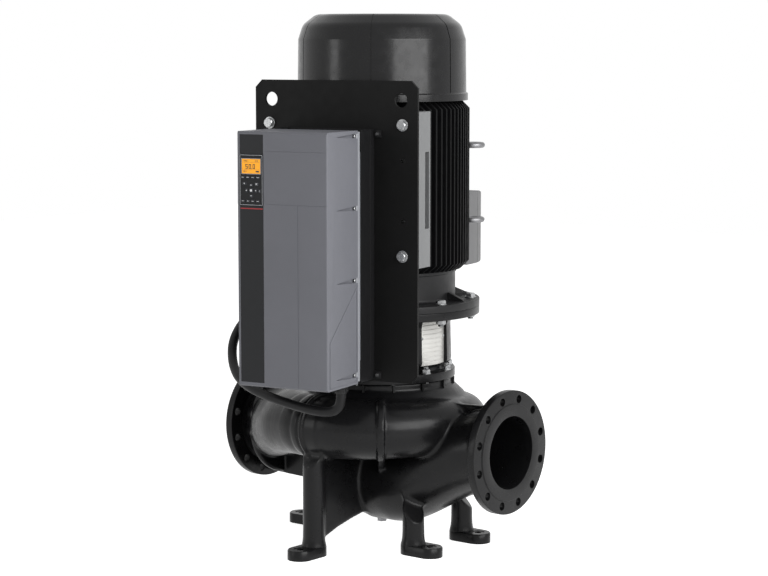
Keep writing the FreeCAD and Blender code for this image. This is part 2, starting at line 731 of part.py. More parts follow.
def make_head_oring():
    body = new_body("head_oring")
    torus(body, D.neck_bore - 2.5, 2.45, (0, 0, SCROLL_AXIS + D.outlet_half + 13 + 46.5))
    return body


def make_studs():
    """Studs in the casing's neck, each with its nut on the stool's flange."""
    body = new_body("head_studs")
    angle = math.radians(D.stud_turn.value)
    x = D.stud_circle / 2 * math.cos(angle)
    y = D.stud_circle / 2 * math.sin(angle)
    seat = NECK_TOP + D.stool_base_thickness
    stud = cylinder(body, STUD_RADIUS, 24 + D.stool_base_thickness + 19, (x, y, NECK_TOP - 24))
    nut = prism(body, STUD_RADIUS * 1.75, D.stud_size * 0.9, (x, y, seat))
    ring_pattern(body, [stud, nut], D.stud_count)
    return body


def make_seal_seat():
    body = new_body("seal_seat")
    low = SCROLL_AXIS + D.outlet_half + 13
    inner = D.pump_shaft_radius + D.running_gap + 0.7
    lathe(body, [(inner, low + 32), (D.seal_bore, low + 32), (D.seal_bore, low + 48), (inner, low + 48)])
    return body


def make_seal_ring():
    """The turning half of the shaft seal: a face ring on a corrugated bellows."""
    body = new_body("seal_rotating_ring")
    face = SCROLL_AXIS + D.outlet_half + 13 + 32 - 0.1
    foot_height = SCROLL_AXIS + 32
    shaft = D.pump_shaft_radius
    outline = [(shaft, foot_height), (shaft + 14, foot_height), (shaft + 14, foot_height + 5)]
    fold = (face - 11 - (foot_height + 5)) / 4
    for number in range(4):
        low = foot_height + 5 + fold * number
        outline += [(shaft + 5, low + fold * 0.3), (shaft + 12, low + fold)]
    outline += [(shaft + 10, face - 8), (shaft + 10, face), (shaft + 2, face), (shaft + 2, face - 8),
                (shaft, face - 8)]
    lathe(body, outline)
    return body


def blade_outline():
    """A swept-back blade as a band between two spirals, thinner at both ends."""
    inner = 64
    outer = D.impeller_radius.value - 2
    sweep = math.radians(72)
    steps = 9
    near, far = [], []
    for step in range(steps + 1):
        share = step / steps
        radius = inner + (outer - inner) * share
        angle = sweep * share ** 0.85
        half = D.blade_thickness.value / 2 * (0.45 + 0.55 * math.sin(math.pi * min(share + 0.15, 1)) ** 0.5)
        lean = half / radius
        near.append((radius * math.cos(angle - lean), radius * math.sin(angle - lean)))
        far.append((radius * math.cos(angle + lean), radius * math.sin(angle + lean)))
    return near + far[::-1]


def make_impeller():
    """A closed impeller: six swept blades between two shrouds, with hub and eye ring."""
    blades = new_body("blades")
    low = SCROLL_AXIS - D.impeller_outlet / 2 + D.shroud
    top = low + D.impeller_outlet - D.shroud * 2
    blade = extrude(blades, blade_outline(), top - WEAR_LOW - 20, offset=WEAR_LOW + 22)
    ring_pattern(blades, [blade], D.blade_count)
    rim = D.impeller_radius
    below = [(D.eye_inner - 2, WEAR_LOW), (D.eye_outer, WEAR_LOW), (D.eye_outer, low - 34),
             (D.eye_outer + 12, low - 16), (D.eye_outer + 34, low - 8), (rim, low - D.shroud),
             (rim, low - 60), (D.eye_inner - 2, low - 70)]
    lathe(blades, [(D.eye_inner - 1, WEAR_LOW - 1), (rim + 4, WEAR_LOW - 1), (rim + 4, low - D.shroud / 2),
                   (D.eye_outer + 34, low - 5), (D.eye_outer + 10, low - 13),
                   (D.eye_inner + 4, low - 32), (D.eye_inner - 1, low - 34)], cut=True, name="underside")
    lathe(blades, [(D.eye_inner, WEAR_LOW + 2), (D.eye_outer, WEAR_LOW + 2), (D.eye_outer, low - 34),
                   (D.eye_outer + 12, low - 16), (D.eye_outer + 34, low - 8), (rim, low - D.shroud),
                   (rim, low), (D.eye_outer + 32, low - 2), (D.eye_outer + 6, low - 11),
                   (D.eye_inner, low - 32)], name="front_shroud")
    hub = D.hub_radius
    shaft = D.pump_shaft_radius
    lathe(blades, [(shaft, SCROLL_AXIS - 50), (hub - 8, SCROLL_AXIS - 50), (hub, SCROLL_AXIS - 42),
                   (hub + 8, SCROLL_AXIS - 8), (hub + 32, top - 4), (hub + 60, top), (rim, top),
                   (rim, top + D.shroud), (hub, top + D.shroud + 4), (hub, SCROLL_AXIS + 32),
                   (shaft, SCROLL_AXIS + 32)], name="back_shroud")
    blades.Label = "impeller"
    return blades


def make_impeller_nut():
    body = new_body("impeller_nut")
    top = SCROLL_AXIS - 50
    lathe(body, [(0, top - 30), (10, top - 29), (19, top - 23), (24, top - 10), (26, top), (15, top),
                 (15, top - 18), (0, top - 18)])
    return body


def make_pump_shaft():
    body = new_body("pump_shaft")
    shaft = D.pump_shaft_radius
    low = SCROLL_AXIS - 50
    lathe(body, [(0, low - 18), (15, low - 18), (15, low), (shaft, low), (shaft, SHAFT_END - 2),
                 (0, SHAFT_END - 2)])
    return body


def coupling_half(label, side):
    """Half of the clamped sleeve that joins the two shafts: side is -1 at the front."""
    body = new_body(label)
    low = COUPLING_LOW
    top = low + D.coupling_height
    ring = D.coupling_radius
    lathe(body, [(D.pump_shaft_radius, low), (ring - 6, low), (ring, low + 6), (ring, top - 6),
                 (ring - 6, top), (D.motor_shaft_radius, top), (D.motor_shaft_radius, SHAFT_END),
                 (D.motor_shaft_radius, SHAFT_END - 2), (D.pump_shaft_radius, SHAFT_END - 2)])
    half_split = D.coupling_split / 2
    start = -half_split if side < 0 else half_split - ring - 4
    block(body, (-ring - 2, start, low - 2), (ring * 2 + 4, ring + 4, D.coupling_height + 4), cut=True)
    for x in (-COUPLING_BOLT_X, COUPLING_BOLT_X):
        for share in COUPLING_BOLT_ROWS:
            z = low + D.coupling_height * share
            cylinder(body, D.coupling_bolt / 2, ring * 2, (x, -ring, z), "Y", cut=True)
            cylinder(body, D.coupling_bolt, ring, (x, COUPLING_BOLT_SEAT * side, z),
                     "Y" if side > 0 else "-Y", cut=True)
    return body


def make_coupling_screws():
    body = new_body("coupling_screws")
    flat = COUPLING_BOLT_SEAT
    for x in (-COUPLING_BOLT_X, COUPLING_BOLT_X):
        for share in COUPLING_BOLT_ROWS:
            z = COUPLING_LOW + D.coupling_height * share
            cylinder(body, D.coupling_bolt / 2, flat * 2, (x, -flat, z), "Y")
            prism(body, D.coupling_bolt * 0.9, 8, (x, -flat - 8, z), "Y")
            prism(body, D.coupling_bolt * 0.9, 8, (x, flat, z), "Y")
    return body


def make_stool():
    """The lantern between casing and motor, with a guarded window at each side."""
    body = new_body("motor_stool")
    low = NECK_TOP
    seat = low + D.stool_base_thickness
    wall = D.stool_wall_radius
    inner = wall - D.stool_wall
    flange = D.motor_flange / 2
    waist = D.stool_waist
    lathe(body, [(150, low), (D.stool_base_radius, low), (D.stool_base_radius, seat), (wall - waist, seat),
                 (wall - waist, seat + 15), (wall + 1.4, seat + 25), (wall - 1.5, STOOL_TOP - 50),
                 (wall + 5, STOOL_TOP - 29), (wall + 12, STOOL_TOP - D.stool_flange),
                 (flange, STOOL_TOP - D.stool_flange), (flange, STOOL_TOP), (D.spigot_radius, STOOL_TOP),
                 (D.spigot_radius, STOOL_TOP - D.spigot_height), (inner, STOOL_TOP - D.spigot_height),
                 (inner, seat + 32), (inner - waist, seat + 14), (inner - waist, seat + 8), (150, seat)])
    window = WINDOW_LOW + D.window_height
    guard = inner + GUARD_SEAT
    outer = sector(body, [(guard, WINDOW_LOW), (wall + 30, WINDOW_LOW), (wall + 30, window),
                          (guard, window)], WINDOW_ANGLE, True, "window")
    through = sector(body, [(inner - 30, WINDOW_LOW + 4), (wall, WINDOW_LOW + 4), (wall, window - 4),
                            (inner - 30, window - 4)], WINDOW_ANGLE - 6, True, "opening")
    ring_pattern(body, [outer, through], 2)
    bolt = motor_bolt_place()
    hole = cylinder(body, D.motor_flange_hole / 2, D.stool_flange + 2,
                    (bolt[0], bolt[1], STOOL_TOP - D.stool_flange - 1), cut=True)
    ring_pattern(body, [hole], D.motor_flange_bolts)
    angle = math.radians(D.stud_turn.value)
    x = D.stud_circle / 2 * math.cos(angle)
    y = D.stud_circle / 2 * math.sin(angle)
    hole = cylinder(body, STUD_RADIUS + 0.5, D.stool_base_thickness + 2, (x, y, low - 1), cut=True)
    ring_pattern(body, [hole], D.stud_count)
    vent = math.radians(VENT_ANGLE)
    primitive(body, "Cylinder", True, (120 * math.cos(vent), 120 * math.sin(vent), seat + VENT_RISE),
              Rotation(Vector(0, 0, 1), VENT_ANGLE).multiply(ALONG["X"]), Radius=VENT_RADIUS - 2, Height=90)
    return body


def motor_bolt_place():
    """The first motor flange bolt in the row's axes, half a step from the head's own X."""
    angle = math.radians(180 / D.motor_flange_bolts.value + D.head_turn.value)
    return (D.motor_flange_pitch / 2 * math.cos(angle), D.motor_flange_pitch / 2 * math.sin(angle))


def make_guards():
    """The two louvred guards in the stool's windows."""
    body = new_body("coupling_guards")
    inner = D.stool_wall_radius - D.stool_wall + GUARD_SEAT
    sheet_outside = inner + D.guard_sheet
    low = WINDOW_LOW + 0.3
    top = WINDOW_LOW + D.window_height - 0.3
    parts = [sector(body, [(inner, low), (sheet_outside, low), (sheet_outside, top), (inner, top)],
                    WINDOW_ANGLE - 0.4)]
    for number in range(LOUVRES):
        foot_height = low + 14 + D.louvre_pitch * number
        parts.append(sector(body, [(inner + 0.5, foot_height), (sheet_outside + 6, foot_height),
                                   (sheet_outside + 6, foot_height + 2), (inner + 0.5, foot_height + 12)],
                            WINDOW_ANGLE - 12, name="louvre"))
    ring_pattern(body, parts, 2)
    return body


def make_motor_shaft():
    body = new_body("motor_shaft")
    shaft = D.motor_shaft_radius
    seat = D.bearing_bore
    top = FRAME_TOP + 126
    lathe(body, [(0, SHAFT_END), (shaft - 2, SHAFT_END), (shaft, SHAFT_END + 2), (shaft, BEARING_LOW),
                 (seat, BEARING_LOW), (seat, BEARING_LOW + D.bearing_width),
                 (seat + 7, BEARING_LOW + D.bearing_width),
                 (seat + 12, CORE_LOW - 60), (seat + 12, CORE_TOP + 60),
                 (seat + 7, BEARING_HIGH), (seat, BEARING_HIGH), (seat, BEARING_HIGH + D.bearing_width),
                 (24, BEARING_HIGH + D.bearing_width), (24, top), (0, top)])
    return body


def make_rotor_core():
    """The laminated rotor with a finned cage ring at each end."""
    body = new_body("rotor_core")
    bore = D.bearing_bore + 12
    outer = D.core_bore - D.air_gap
    lathe(body, [(bore, CORE_LOW), (outer, CORE_LOW), (outer, CORE_TOP), (bore, CORE_TOP)])
    lathe(body, [(78, CORE_LOW - 22), (110, CORE_LOW - 22), (112, CORE_LOW + 1), (76, CORE_LOW + 1)],
          name="low_ring")
    lathe(body, [(76, CORE_TOP - 1), (112, CORE_TOP - 1), (110, CORE_TOP + 22), (78, CORE_TOP + 22)],
          name="top_ring")
    return body


def make_stator_core():
    body = new_body("stator_core", True)
    outer = D.frame_radius - D.frame_wall
    lathe(body, [(D.core_bore, CORE_LOW), (outer, CORE_LOW), (outer, CORE_TOP), (D.core_bore, CORE_TOP)])
    return body


def make_windings():
    """The winding heads that stand out of the stator at both ends."""
    body = new_body("stator_windings", True)
    for face, way in ((CORE_LOW, -1), (CORE_TOP, 1)):
        lathe(body, [(128, face), (174, face), (172, face + 30 * way), (163, face + 44 * way),
                     (142, face + 46 * way), (131, face + 34 * way)], name="head")
    return body


TRACK_SHOULDER = 9
TRACK_STEPS = 6


def bearing_rings(label, bore, outer, facing, in_head):
    """One ring of each deep-groove bearing. facing is 1 where its track looks inwards, -1 outwards."""
    body = new_body(label, in_head)
    middle = (D.bearing_bore + D.bearing_radius) / 2
    lip = math.acos(TRACK_SHOULDER / D.ball_radius.value)
    track = (D.ball_radius + D.track_gap) / math.cos(lip / TRACK_STEPS)
    for low in (BEARING_LOW, BEARING_HIGH):
        level = low + D.bearing_width / 2
        top = low + D.bearing_width
        angles = [lip * (2 * step / TRACK_STEPS - 1) for step in range(TRACK_STEPS + 1)]
        arc = [(middle + track * (math.cos(angle) * facing), level + track * math.sin(angle))
               for angle in angles]
        if facing > 0:
            outline = [(bore, low), (outer, low), (outer, top), (bore, top)] + arc[::-1]
        else:
            outline = [(bore, low), (outer, low)] + arc + [(outer, top), (bore, top)]
        lathe(body, outline, name="ring")
    return body


def make_balls():
    body = new_body("bearing_balls")
    middle = (D.bearing_bore + D.bearing_radius) / 2
    balls = [ball(body, D.ball_radius, (middle, 0, low + D.bearing_width / 2))
             for low in (BEARING_LOW, BEARING_HIGH)]
    ring_pattern(body, balls, D.ball_count)
    return body


def make_drive_end_shield():
    """The flanged end shield that stands on the stool and holds the lower bearing."""
    body = new_body("drive_end_shield", True)
    flange = D.motor_flange / 2
    top = STOOL_TOP + D.motor_flange_thickness
    outer = D.shield_radius
    inner = outer - D.shield_wall
    seat = D.bearing_radius
    lathe(body, [(D.motor_shaft_radius + 1, STOOL_TOP + 22), (60, STOOL_TOP - D.spigot_height),
                 (D.spigot_radius, STOOL_TOP - D.spigot_height), (D.spigot_radius, STOOL_TOP),
                 (flange, STOOL_TOP), (flange, top), (outer, top), (outer, FRAME_LOW - 10),
                 (outer + 3, FRAME_LOW - 9), (outer + 3, FRAME_LOW), (inner, FRAME_LOW),
                 (inner, STOOL_TOP + 36), (seat + 20, STOOL_TOP + 30),
                 (seat + 16, BEARING_LOW + D.bearing_width), (seat, BEARING_LOW + D.bearing_width),
                 (seat, BEARING_LOW), (D.motor_shaft_radius + 1, BEARING_LOW)])
    half_step = math.radians(180 / D.motor_flange_bolts.value)
    at = (D.motor_flange_pitch / 2 * math.cos(half_step), D.motor_flange_pitch / 2 * math.sin(half_step),
          STOOL_TOP - 1)
    hole = cylinder(body, D.motor_flange_hole / 2, D.motor_flange_thickness + 6, at, cut=True)
    ring_pattern(body, [hole], D.motor_flange_bolts)
    rib = extrude(body, [(outer - 4, top - 1), (outer + 52, top - 1), (outer + 46, top + 5),
                         (outer - 4, top + 23)], 12, plane="XZ_Plane", middle=True)
    ring_pattern(body, [rib], D.motor_flange_bolts)
    return body


def make_flange_bolts():
    """Bolts down through the motor flange and the stool's flange."""
    body = new_body("flange_bolts", True)
    half_step = math.radians(180 / D.motor_flange_bolts.value)
    x = D.motor_flange_pitch / 2 * math.cos(half_step)
    y = D.motor_flange_pitch / 2 * math.sin(half_step)
    top = STOOL_TOP + D.motor_flange_thickness
    under = STOOL_TOP - D.stool_flange
    length = D.motor_flange_thickness + D.stool_flange + 18
    parts = [cylinder(body, D.flange_bolt / 2, length, (x, y, under - 18)),
             cylinder(body, D.flange_bolt, 2.5, (x, y, top)),
             prism(body, D.flange_bolt * 0.87, 10, (x, y, top + 2.5)),
             prism(body, D.flange_bolt * 0.87, 13, (x, y, under - 13))]
    ring_pattern(body, parts, D.motor_flange_bolts)
    return body


def make_fins():
    """Straight cooling fins, level ones to the sides and upright ones to the back, inside one round."""
    stack = new_body("fin_stack")
    reach = D.fin_radius
    thick = D.fin_thickness
    across = D.fin_pitch * (D.fins_across - 1)
    behind = D.fin_pitch * (D.fins_behind - 1)
    depth = reach - D.frame_radius * 0.55
    shallow = reach - D.frame_radius * 0.85
    for start in (-reach, reach - depth):
        fin = block(stack, (start, -across / 2 - thick / 2, FRAME_LOW), (depth, thick, D.frame_length))
        row_pattern(stack, [fin], "Y_Axis", across, D.fins_across)
    for start in (-reach, reach - shallow):
        fin = block(stack, (-behind / 2 - thick / 2, start, FRAME_LOW), (thick, shallow, D.frame_length))
        row_pattern(stack, [fin], "X_Axis", behind, D.fins_behind)
    envelope = new_body("fin_envelope")
    chamfer = D.fin_chamfer
    lathe(envelope, [(D.frame_radius - 2, FRAME_LOW), (reach - chamfer, FRAME_LOW),
                     (reach, FRAME_LOW + chamfer), (reach, FRAME_TOP - chamfer),
                     (reach - chamfer, FRAME_TOP), (D.frame_radius - 2, FRAME_TOP)])
    round_fins = shared("round_fins", stack, envelope)
    pockets = new_body("eyebolt_pockets")
    for rise in (D.eyebolt_low, D.eyebolt_high):
        primitive(pockets, "Cylinder", False, (120, 120, FRAME_LOW + rise),
                  Rotation(Vector(0, 0, 1), 45).multiply(ALONG["X"]), Radius=25, Height=110)
    return carved("fins", round_fins, pockets)


def make_motor_frame():
    """The frame's tube with fins, feet, the terminal box's neck and the eyebolt bosses."""
    shell = new_body("frame_shell")
    lathe(shell, [(0, FRAME_LOW), (D.frame_radius, FRAME_LOW), (D.frame_radius, FRAME_TOP), (0, FRAME_TOP)])
    foot_outside = D.foot_spread / 2 + D.foot_block_width / 2
    for side in (-1, 1):
        low_x = foot_outside * -1 if side < 0 else foot_outside - D.foot_block_width
        block(shell, (low_x, -D.foot_height, FRAME_LOW + 29),
              (D.foot_block_width, D.foot_block_depth, D.frame_length - 52))
        web_x = low_x + (-12 if side > 0 else D.foot_block_width - 34)
        block(shell, (web_x, D.foot_block_depth - D.foot_height - 2, FRAME_LOW + 40),
              (46, 72, D.frame_length - 74))
    block(shell, (-D.box_width / 2 + 30, 150, BOX_LOW + 50),
          (D.box_width - 60, BOX_FACE - 150, D.box_length - 80))
    along = Rotation(Vector(0, 0, 1), 45).multiply(ALONG["X"])
    for rise in (D.eyebolt_low, D.eyebolt_high):
        primitive(shell, "Cylinder", False, (120, 120, FRAME_LOW + rise), along,
                  Radius=20, Height=EYEBOLT_SEAT - 120 * 2 ** 0.5)
    whole = joined("frame_solid", [make_fins(), shell])
    hollow = new_body("frame_hollow")
    lathe(hollow, [(0, FRAME_LOW - 1), (D.frame_radius - D.frame_wall, FRAME_LOW - 1),
                   (D.frame_radius - D.frame_wall, FRAME_TOP + 1), (0, FRAME_TOP + 1)])
    for side in (-1, 1):
        slot_x = foot_outside - 12 if side > 0 else -foot_outside - 2
        block(hollow, (slot_x, -D.foot_height + 45, FRAME_LOW + 133), (14, 15, 205))
    for x in (-D.foot_spread / 2, D.foot_spread / 2):
        for rise in (D.foot_offset, D.foot_offset + D.foot_pitch):
            cylinder(hollow, D.plate_bolt / 2, 42, (x, -D.foot_height - 2, FRAME_LOW + rise), "Y")
    return carved("motor_frame", whole, hollow, True)


def make_eyebolts():
    body = new_body("eyebolts", True)
    along = Rotation(Vector(0, 0, 1), 45).multiply(ALONG["X"])
    for rise in (D.eyebolt_low, D.eyebolt_high):
        z = FRAME_LOW + rise
        seat = EYEBOLT_SEAT / 2 ** 0.5
        primitive(body, "Cylinder", False, (seat, seat, z), along, Radius=17, Height=7)
        middle = (EYEBOLT_SEAT + D.eyebolt_radius + D.eyebolt_bar + 3) / 2 ** 0.5
        torus(body, D.eyebolt_radius, D.eyebolt_bar, (middle, middle, z))
    return body


def make_fan_end_shield():
    """The upper shield with four lugs that carry the fan cover."""
    body = new_body("fan_end_shield", True)
    seat = D.bearing_radius
    inner = D.frame_radius - D.frame_wall
    over = BEARING_HIGH + D.bearing_width
    lathe(body, [(48, over), (48, over + 6), (seat + 16, over + 6), (seat + 24, FRAME_TOP + 12),
                 (D.frame_radius, FRAME_TOP + 12), (D.frame_radius, FRAME_TOP), (inner, FRAME_TOP),
                 (inner, FRAME_TOP - 8), (inner - 10, FRAME_TOP - 8), (inner - 10, FRAME_TOP),
                 (seat + 22, FRAME_TOP), (seat + 14, BEARING_HIGH), (seat, BEARING_HIGH), (seat, over)])
    reach = D.cover_radius - D.cover_sheet - D.frame_radius + 9.1
    lug = turned_block(body, (D.frame_radius - 10, -17, FRAME_TOP), (reach, 26, 12), 45)
    ring_pattern(body, [lug], 4)
    return body


def make_fan():
    body = new_body("cooling_fan")
    low = BEARING_HIGH + D.bearing_width + 18
    lathe(body, [(24, low), (42, low), (42, low + 10), (D.fan_radius - 10, low + 26),
                 (D.fan_radius - 10, low + 31), (40, low + 20), (38, low + 62), (24, low + 62)])
    blade = block(body, (36, -2.5, low + 16), (D.fan_radius - 36, 5, 66))
    ring_pattern(body, [blade], D.fan_blades)
    return body


def cover_shape(label, shrink, height):
    """The fan cover's bell, or the hollow in it."""
    body = new_body(label)
    rim = D.cover_radius - shrink
    wall = D.cover_top_radius - shrink
    top = COVER_TOP - shrink
    dome = D.cover_dome_width
    knee = top - D.cover_dome * 0.42
    lathe(body, [(0, FRAME_TOP - height), (rim, FRAME_TOP - height), (rim, FRAME_TOP + 19),
                 (wall + 2, FRAME_TOP + 22), (wall, COVER_TOP - D.cover_dome), (wall - dome * 0.26, knee),
                 (wall - dome, top), (0, top)])
    soften(body, D.cover_round - shrink,
           lambda edge: rim_at(top, wall - dome)(edge) or rim_at(knee, wall - dome * 0.26)(edge))
    return body


def make_fan_cover():
    bell = cover_shape("cover_bell", size(0), 0)
    hollow = cover_shape("cover_hollow", D.cover_sheet, 1)
    shell = carved("cover_shell", bell, hollow)
    slots = new_body("cover_slots")
    first = block(slots, (48, -3.5, COVER_TOP - 20), (62, 7, 30))
    outer = turned_block(slots, (118, -3.5, COVER_TOP - 20), (44, 7, 30), 7.5)
    ring_pattern(slots, [first, outer], D.cover_slots)
    return carved("fan_cover", shell, slots, True)


def make_cover_screws():
    """Heads of the screws in the guards, fan cover, terminal box lid and converter channel."""
    body = new_body("cover_screws", True)
    seat = D.stool_wall_radius - D.stool_wall + GUARD_SEAT + D.guard_sheet
    for middle in (0, 180):
        for side in (-1, 1):
            angle = middle + (WINDOW_ANGLE / 2 - 1.8) * side - D.head_turn.value
            screw_head(body, seat + 0.05, angle, WINDOW_LOW + D.window_height * 0.6, 4.5)
    for corner in range(4):
        screw_head(body, D.cover_radius + 0.05, 45 + 90 * corner, FRAME_TOP + 7, 6)
    face = BOX_FACE + D.box_depth + D.box_lid
    for x in (-D.box_width / 2 + 20, D.box_width / 2 - 20):
        for z in (BOX_LOW + 20, BOX_LOW + D.box_length - 20):
            cylinder(body, 6, 4, (x, face, z), "Y")
    left = -D.converter_left + D.channel_inset
    width = D.converter_width - D.channel_inset * 2
    for z in (D.converter_bottom + 12, CONVERTER_TOP - 12):
        for x in (left - 12, left + width + 12):
            cylinder(body, 6, 5, (x, -PLATE_FRONT - 9, z), "Y")
    return body


def make_terminal_box():
    body = new_body("terminal_box", True)
    half = D.box_width / 2
    block(body, (-half, BOX_FACE, BOX_LOW), (D.box_width, D.box_depth, D.box_length))
    soften(body, 12, lambda edge: edge.BoundBox.YLength > 10 and edge.BoundBox.XLength < 0.01
           and edge.BoundBox.ZLength < 0.01)
    wall = 6
    block(body, (-half + wall, BOX_FACE + wall, BOX_LOW + wall),
          (D.box_width - wall * 2, D.box_depth, D.box_length - wall * 2), cut=True)
    cylinder(body, GLAND_THREAD, wall + 2, (D.box_gland_x, BOX_FACE + D.box_gland_in, BOX_LOW - 1), cut=True)
    return body


def make_box_lid():
    body = new_body("terminal_box_lid", True)
    half = D.box_width / 2
    face = BOX_FACE + D.box_depth
    block(body, (-half, face, BOX_LOW), (D.box_width, D.box_lid, D.box_length))
    soften(body, 12, lambda edge: edge.BoundBox.YLength > 10 and edge.BoundBox.XLength < 0.01
           and edge.BoundBox.ZLength < 0.01)
    soften(body, 8, lambda edge: edge.BoundBox.YLength < 0.01
           and abs(edge.BoundBox.YMin - (face + D.box_lid).value) < 0.01)
    return body


def gland(body, x, y, top):
    """A cable gland that hangs from a bottom wall: thread, hexagon, and cap round the cable."""
    height = D.gland_height
    cylinder(body, GLAND_THREAD, 8, (x, y, top))
    prism(body, D.gland_radius, height * 0.4, (x, y, top - height * 0.4))
    cone(body, D.gland_radius * 0.62, D.gland_radius * 0.84, height * 0.6, (x, y, top - height))


def make_cable_glands():
    body = new_body("cable_glands", True)
    gland(body, D.gland_x, -GLAND_Y, D.converter_bottom)
    gland(body, D.box_gland_x, BOX_FACE + D.box_gland_in, BOX_LOW)
    return body


def flange_relief(body, half_width, front, depth):
    """The opening that clears the motor's and the stool's flanges where they reach past the feet."""
    low = STOOL_TOP - D.stool_flange - 10
    block(body, (-half_width, -front - 1, low),
          (half_width * 2, depth + 2, D.stool_flange + D.motor_flange_thickness + 20), cut=True)


def make_plate():
    """The plate on the motor's feet that carries the converter."""
    body = new_body("mounting_plate", True)
    half = D.plate_width / 2
    low = D.plate_bottom
    top = low + D.plate_height
    cut = D.plate_corner
    extrude(body, [(-half + cut, low), (half - cut, low), (half, low + cut), (half, top - cut),
                   (half - cut, top), (-half + cut, top), (-half, top - cut), (-half, low + cut)],
            D.plate_thickness, plane="XZ_Plane", offset=PLATE_BACK)
    flange_relief(body, 90, PLATE_FRONT, D.plate_thickness)
    for side in (-1, 1):
        cylinder(body, D.lifting_hole / 2, D.plate_thickness + 2,
                 (D.lifting_spread / 2 * side, -PLATE_FRONT - 1, top - D.lifting_drop), "Y", cut=True)
        for rise in (434, 596):
            cylinder(body, 6, D.plate_thickness + 2,
                     ((D.foot_spread / 2 + 1) * side, -PLATE_FRONT - 1, low + rise), "Y", cut=True)
        for rise in (D.foot_offset, D.foot_offset + D.foot_pitch):
            cylinder(body, D.plate_bolt / 2, D.plate_thickness + 2,
                     (D.foot_spread / 2 * side, -PLATE_FRONT - 1, FRAME_LOW + rise), "Y", cut=True)
    return body


def plate_bolt_places():
    return [(D.foot_spread / 2 * side, FRAME_LOW + rise) for side in (-1, 1)
            for rise in (D.foot_offset, D.foot_offset + D.foot_pitch)]


def make_plate_bolts():
    """The plate's bolts, each with its washer in front and its spacer behind the plate."""
    body = new_body("plate_bolts", True)
    for x, z in plate_bolt_places():
        front = -PLATE_FRONT
        cylinder(body, D.plate_bolt / 2, D.plate_thickness + D.plate_gap + 30, (x, front, z), "Y")
        cylinder(body, D.plate_bolt, D.plate_gap, (x, -PLATE_BACK, z), "Y")
        cylinder(body, D.plate_bolt, 3, (x, front - 3, z), "Y")
        prism(body, D.plate_bolt * 0.87, 10, (x, front - 13, z), "Y")
    return body


def make_channel():
    """The converter's open air channel: a folded sheet with ears for the plate's screws."""
    body = new_body("converter_channel", True)
    left = -D.converter_left + D.channel_inset
    width = D.converter_width - D.channel_inset * 2
    low = D.converter_bottom
    sheet = D.channel_sheet
    block(body, (left, -CHANNEL_FRONT, low), (width, D.channel_depth, D.converter_height))
    block(body, (left + sheet, -CHANNEL_FRONT - 1, low - 1),
          (width - sheet * 2, D.channel_depth - sheet + 1, D.converter_height + 2), cut=True)
    flange_relief(body, 60, PLATE_FRONT + sheet, sheet)
    for ear_z in (low + 2, low + D.converter_height - 22):
        for x in (left - 22, left + width - 1):
            block(body, (x, -PLATE_FRONT - 4, ear_z), (23, 4, 20))
    return body


def make_heat_sink():
    """The cooling fins in the air channel, on one base plate."""
    body = new_body("heat_sink", True)
    left = -D.converter_left + D.channel_inset + D.channel_sheet
    width = D.converter_width - D.channel_inset * 2 - D.channel_sheet * 2
    low = D.converter_bottom + 60
    length = D.converter_height - 120
    block(body, (left, -CHANNEL_FRONT, low), (width, 10, length))
    first = block(body, (left + 2, -CHANNEL_FRONT + 9, low),
                  (3, D.channel_depth - D.channel_sheet - 14, length))
    row_pattern(body, [first], "X_Axis", D.fin_spacing * 19, 20)
    return body


def make_base_frame():
    body = new_body("converter_base", True)
    inset = 4
    block(body, (-D.converter_left + inset, -BASE_FRONT, D.converter_bottom + inset),
          (D.converter_width - inset * 2, D.base_depth, D.converter_height - inset * 2))
    return body


def make_converter_cover():
    """The converter's moulded cover, with its strip recess and the funnel notches at the sides."""
    body = new_body("converter_cover", True)
    left = -D.converter_left
    block(body, (left, -CONVERTER_FRONT, D.converter_bottom),
          (D.converter_width, D.converter_cover_depth, D.converter_height))
    soften(body, 6, lambda edge: edge.BoundBox.ZLength > 100 and edge.BoundBox.XLength < 0.01
           and abs(edge.BoundBox.YMin + CONVERTER_FRONT.value) < 0.01)
    soften(body, 3, lambda edge: edge.BoundBox.XLength > 100 and edge.BoundBox.ZLength < 0.01
           and abs(edge.BoundBox.YMin + CONVERTER_FRONT.value) < 0.01)
    block(body, (STRIP_LEFT, -CONVERTER_FRONT - 1, STRIP_LOW),
          (D.strip_width, D.strip_depth + 1, STRIP_TOP - STRIP_LOW), cut=True)
    block(body, (STRIP_LEFT, -CONVERTER_FRONT - 1, KEYPAD_LOW),
          (D.strip_width, D.keypad_depth - D.keypad_proud + 1, D.keypad_height), cut=True)
    for z in NOTCH_HEIGHTS:
        for x in (left - 1, left + D.converter_width - NOTCH_DEPTH):
            extrude(body, [(-CONVERTER_FRONT + 54, z), (-BASE_FRONT - 4, z - 6), (-BASE_FRONT - 4, z + 6)],
                    NOTCH_DEPTH + 1, plane="YZ_Plane", offset=x, cut=True)
    cylinder(body, GLAND_THREAD, 10, (D.gland_x, -GLAND_Y, D.converter_bottom - 1), cut=True)
    return body


def make_strip():
    """The dark control strip, below and above the keypad."""
    body = new_body("control_strip", True)
    for low, high in ((STRIP_LOW, KEYPAD_LOW), (KEYPAD_TOP, STRIP_TOP)):
        block(body, (STRIP_LEFT, -CONVERTER_FRONT, low), (D.strip_width, D.strip_depth, high - low))
    return body


def display_corner():
    return (STRIP_LEFT + (D.strip_width - D.display_width) / 2, KEYPAD_TOP - D.display_height - 12)


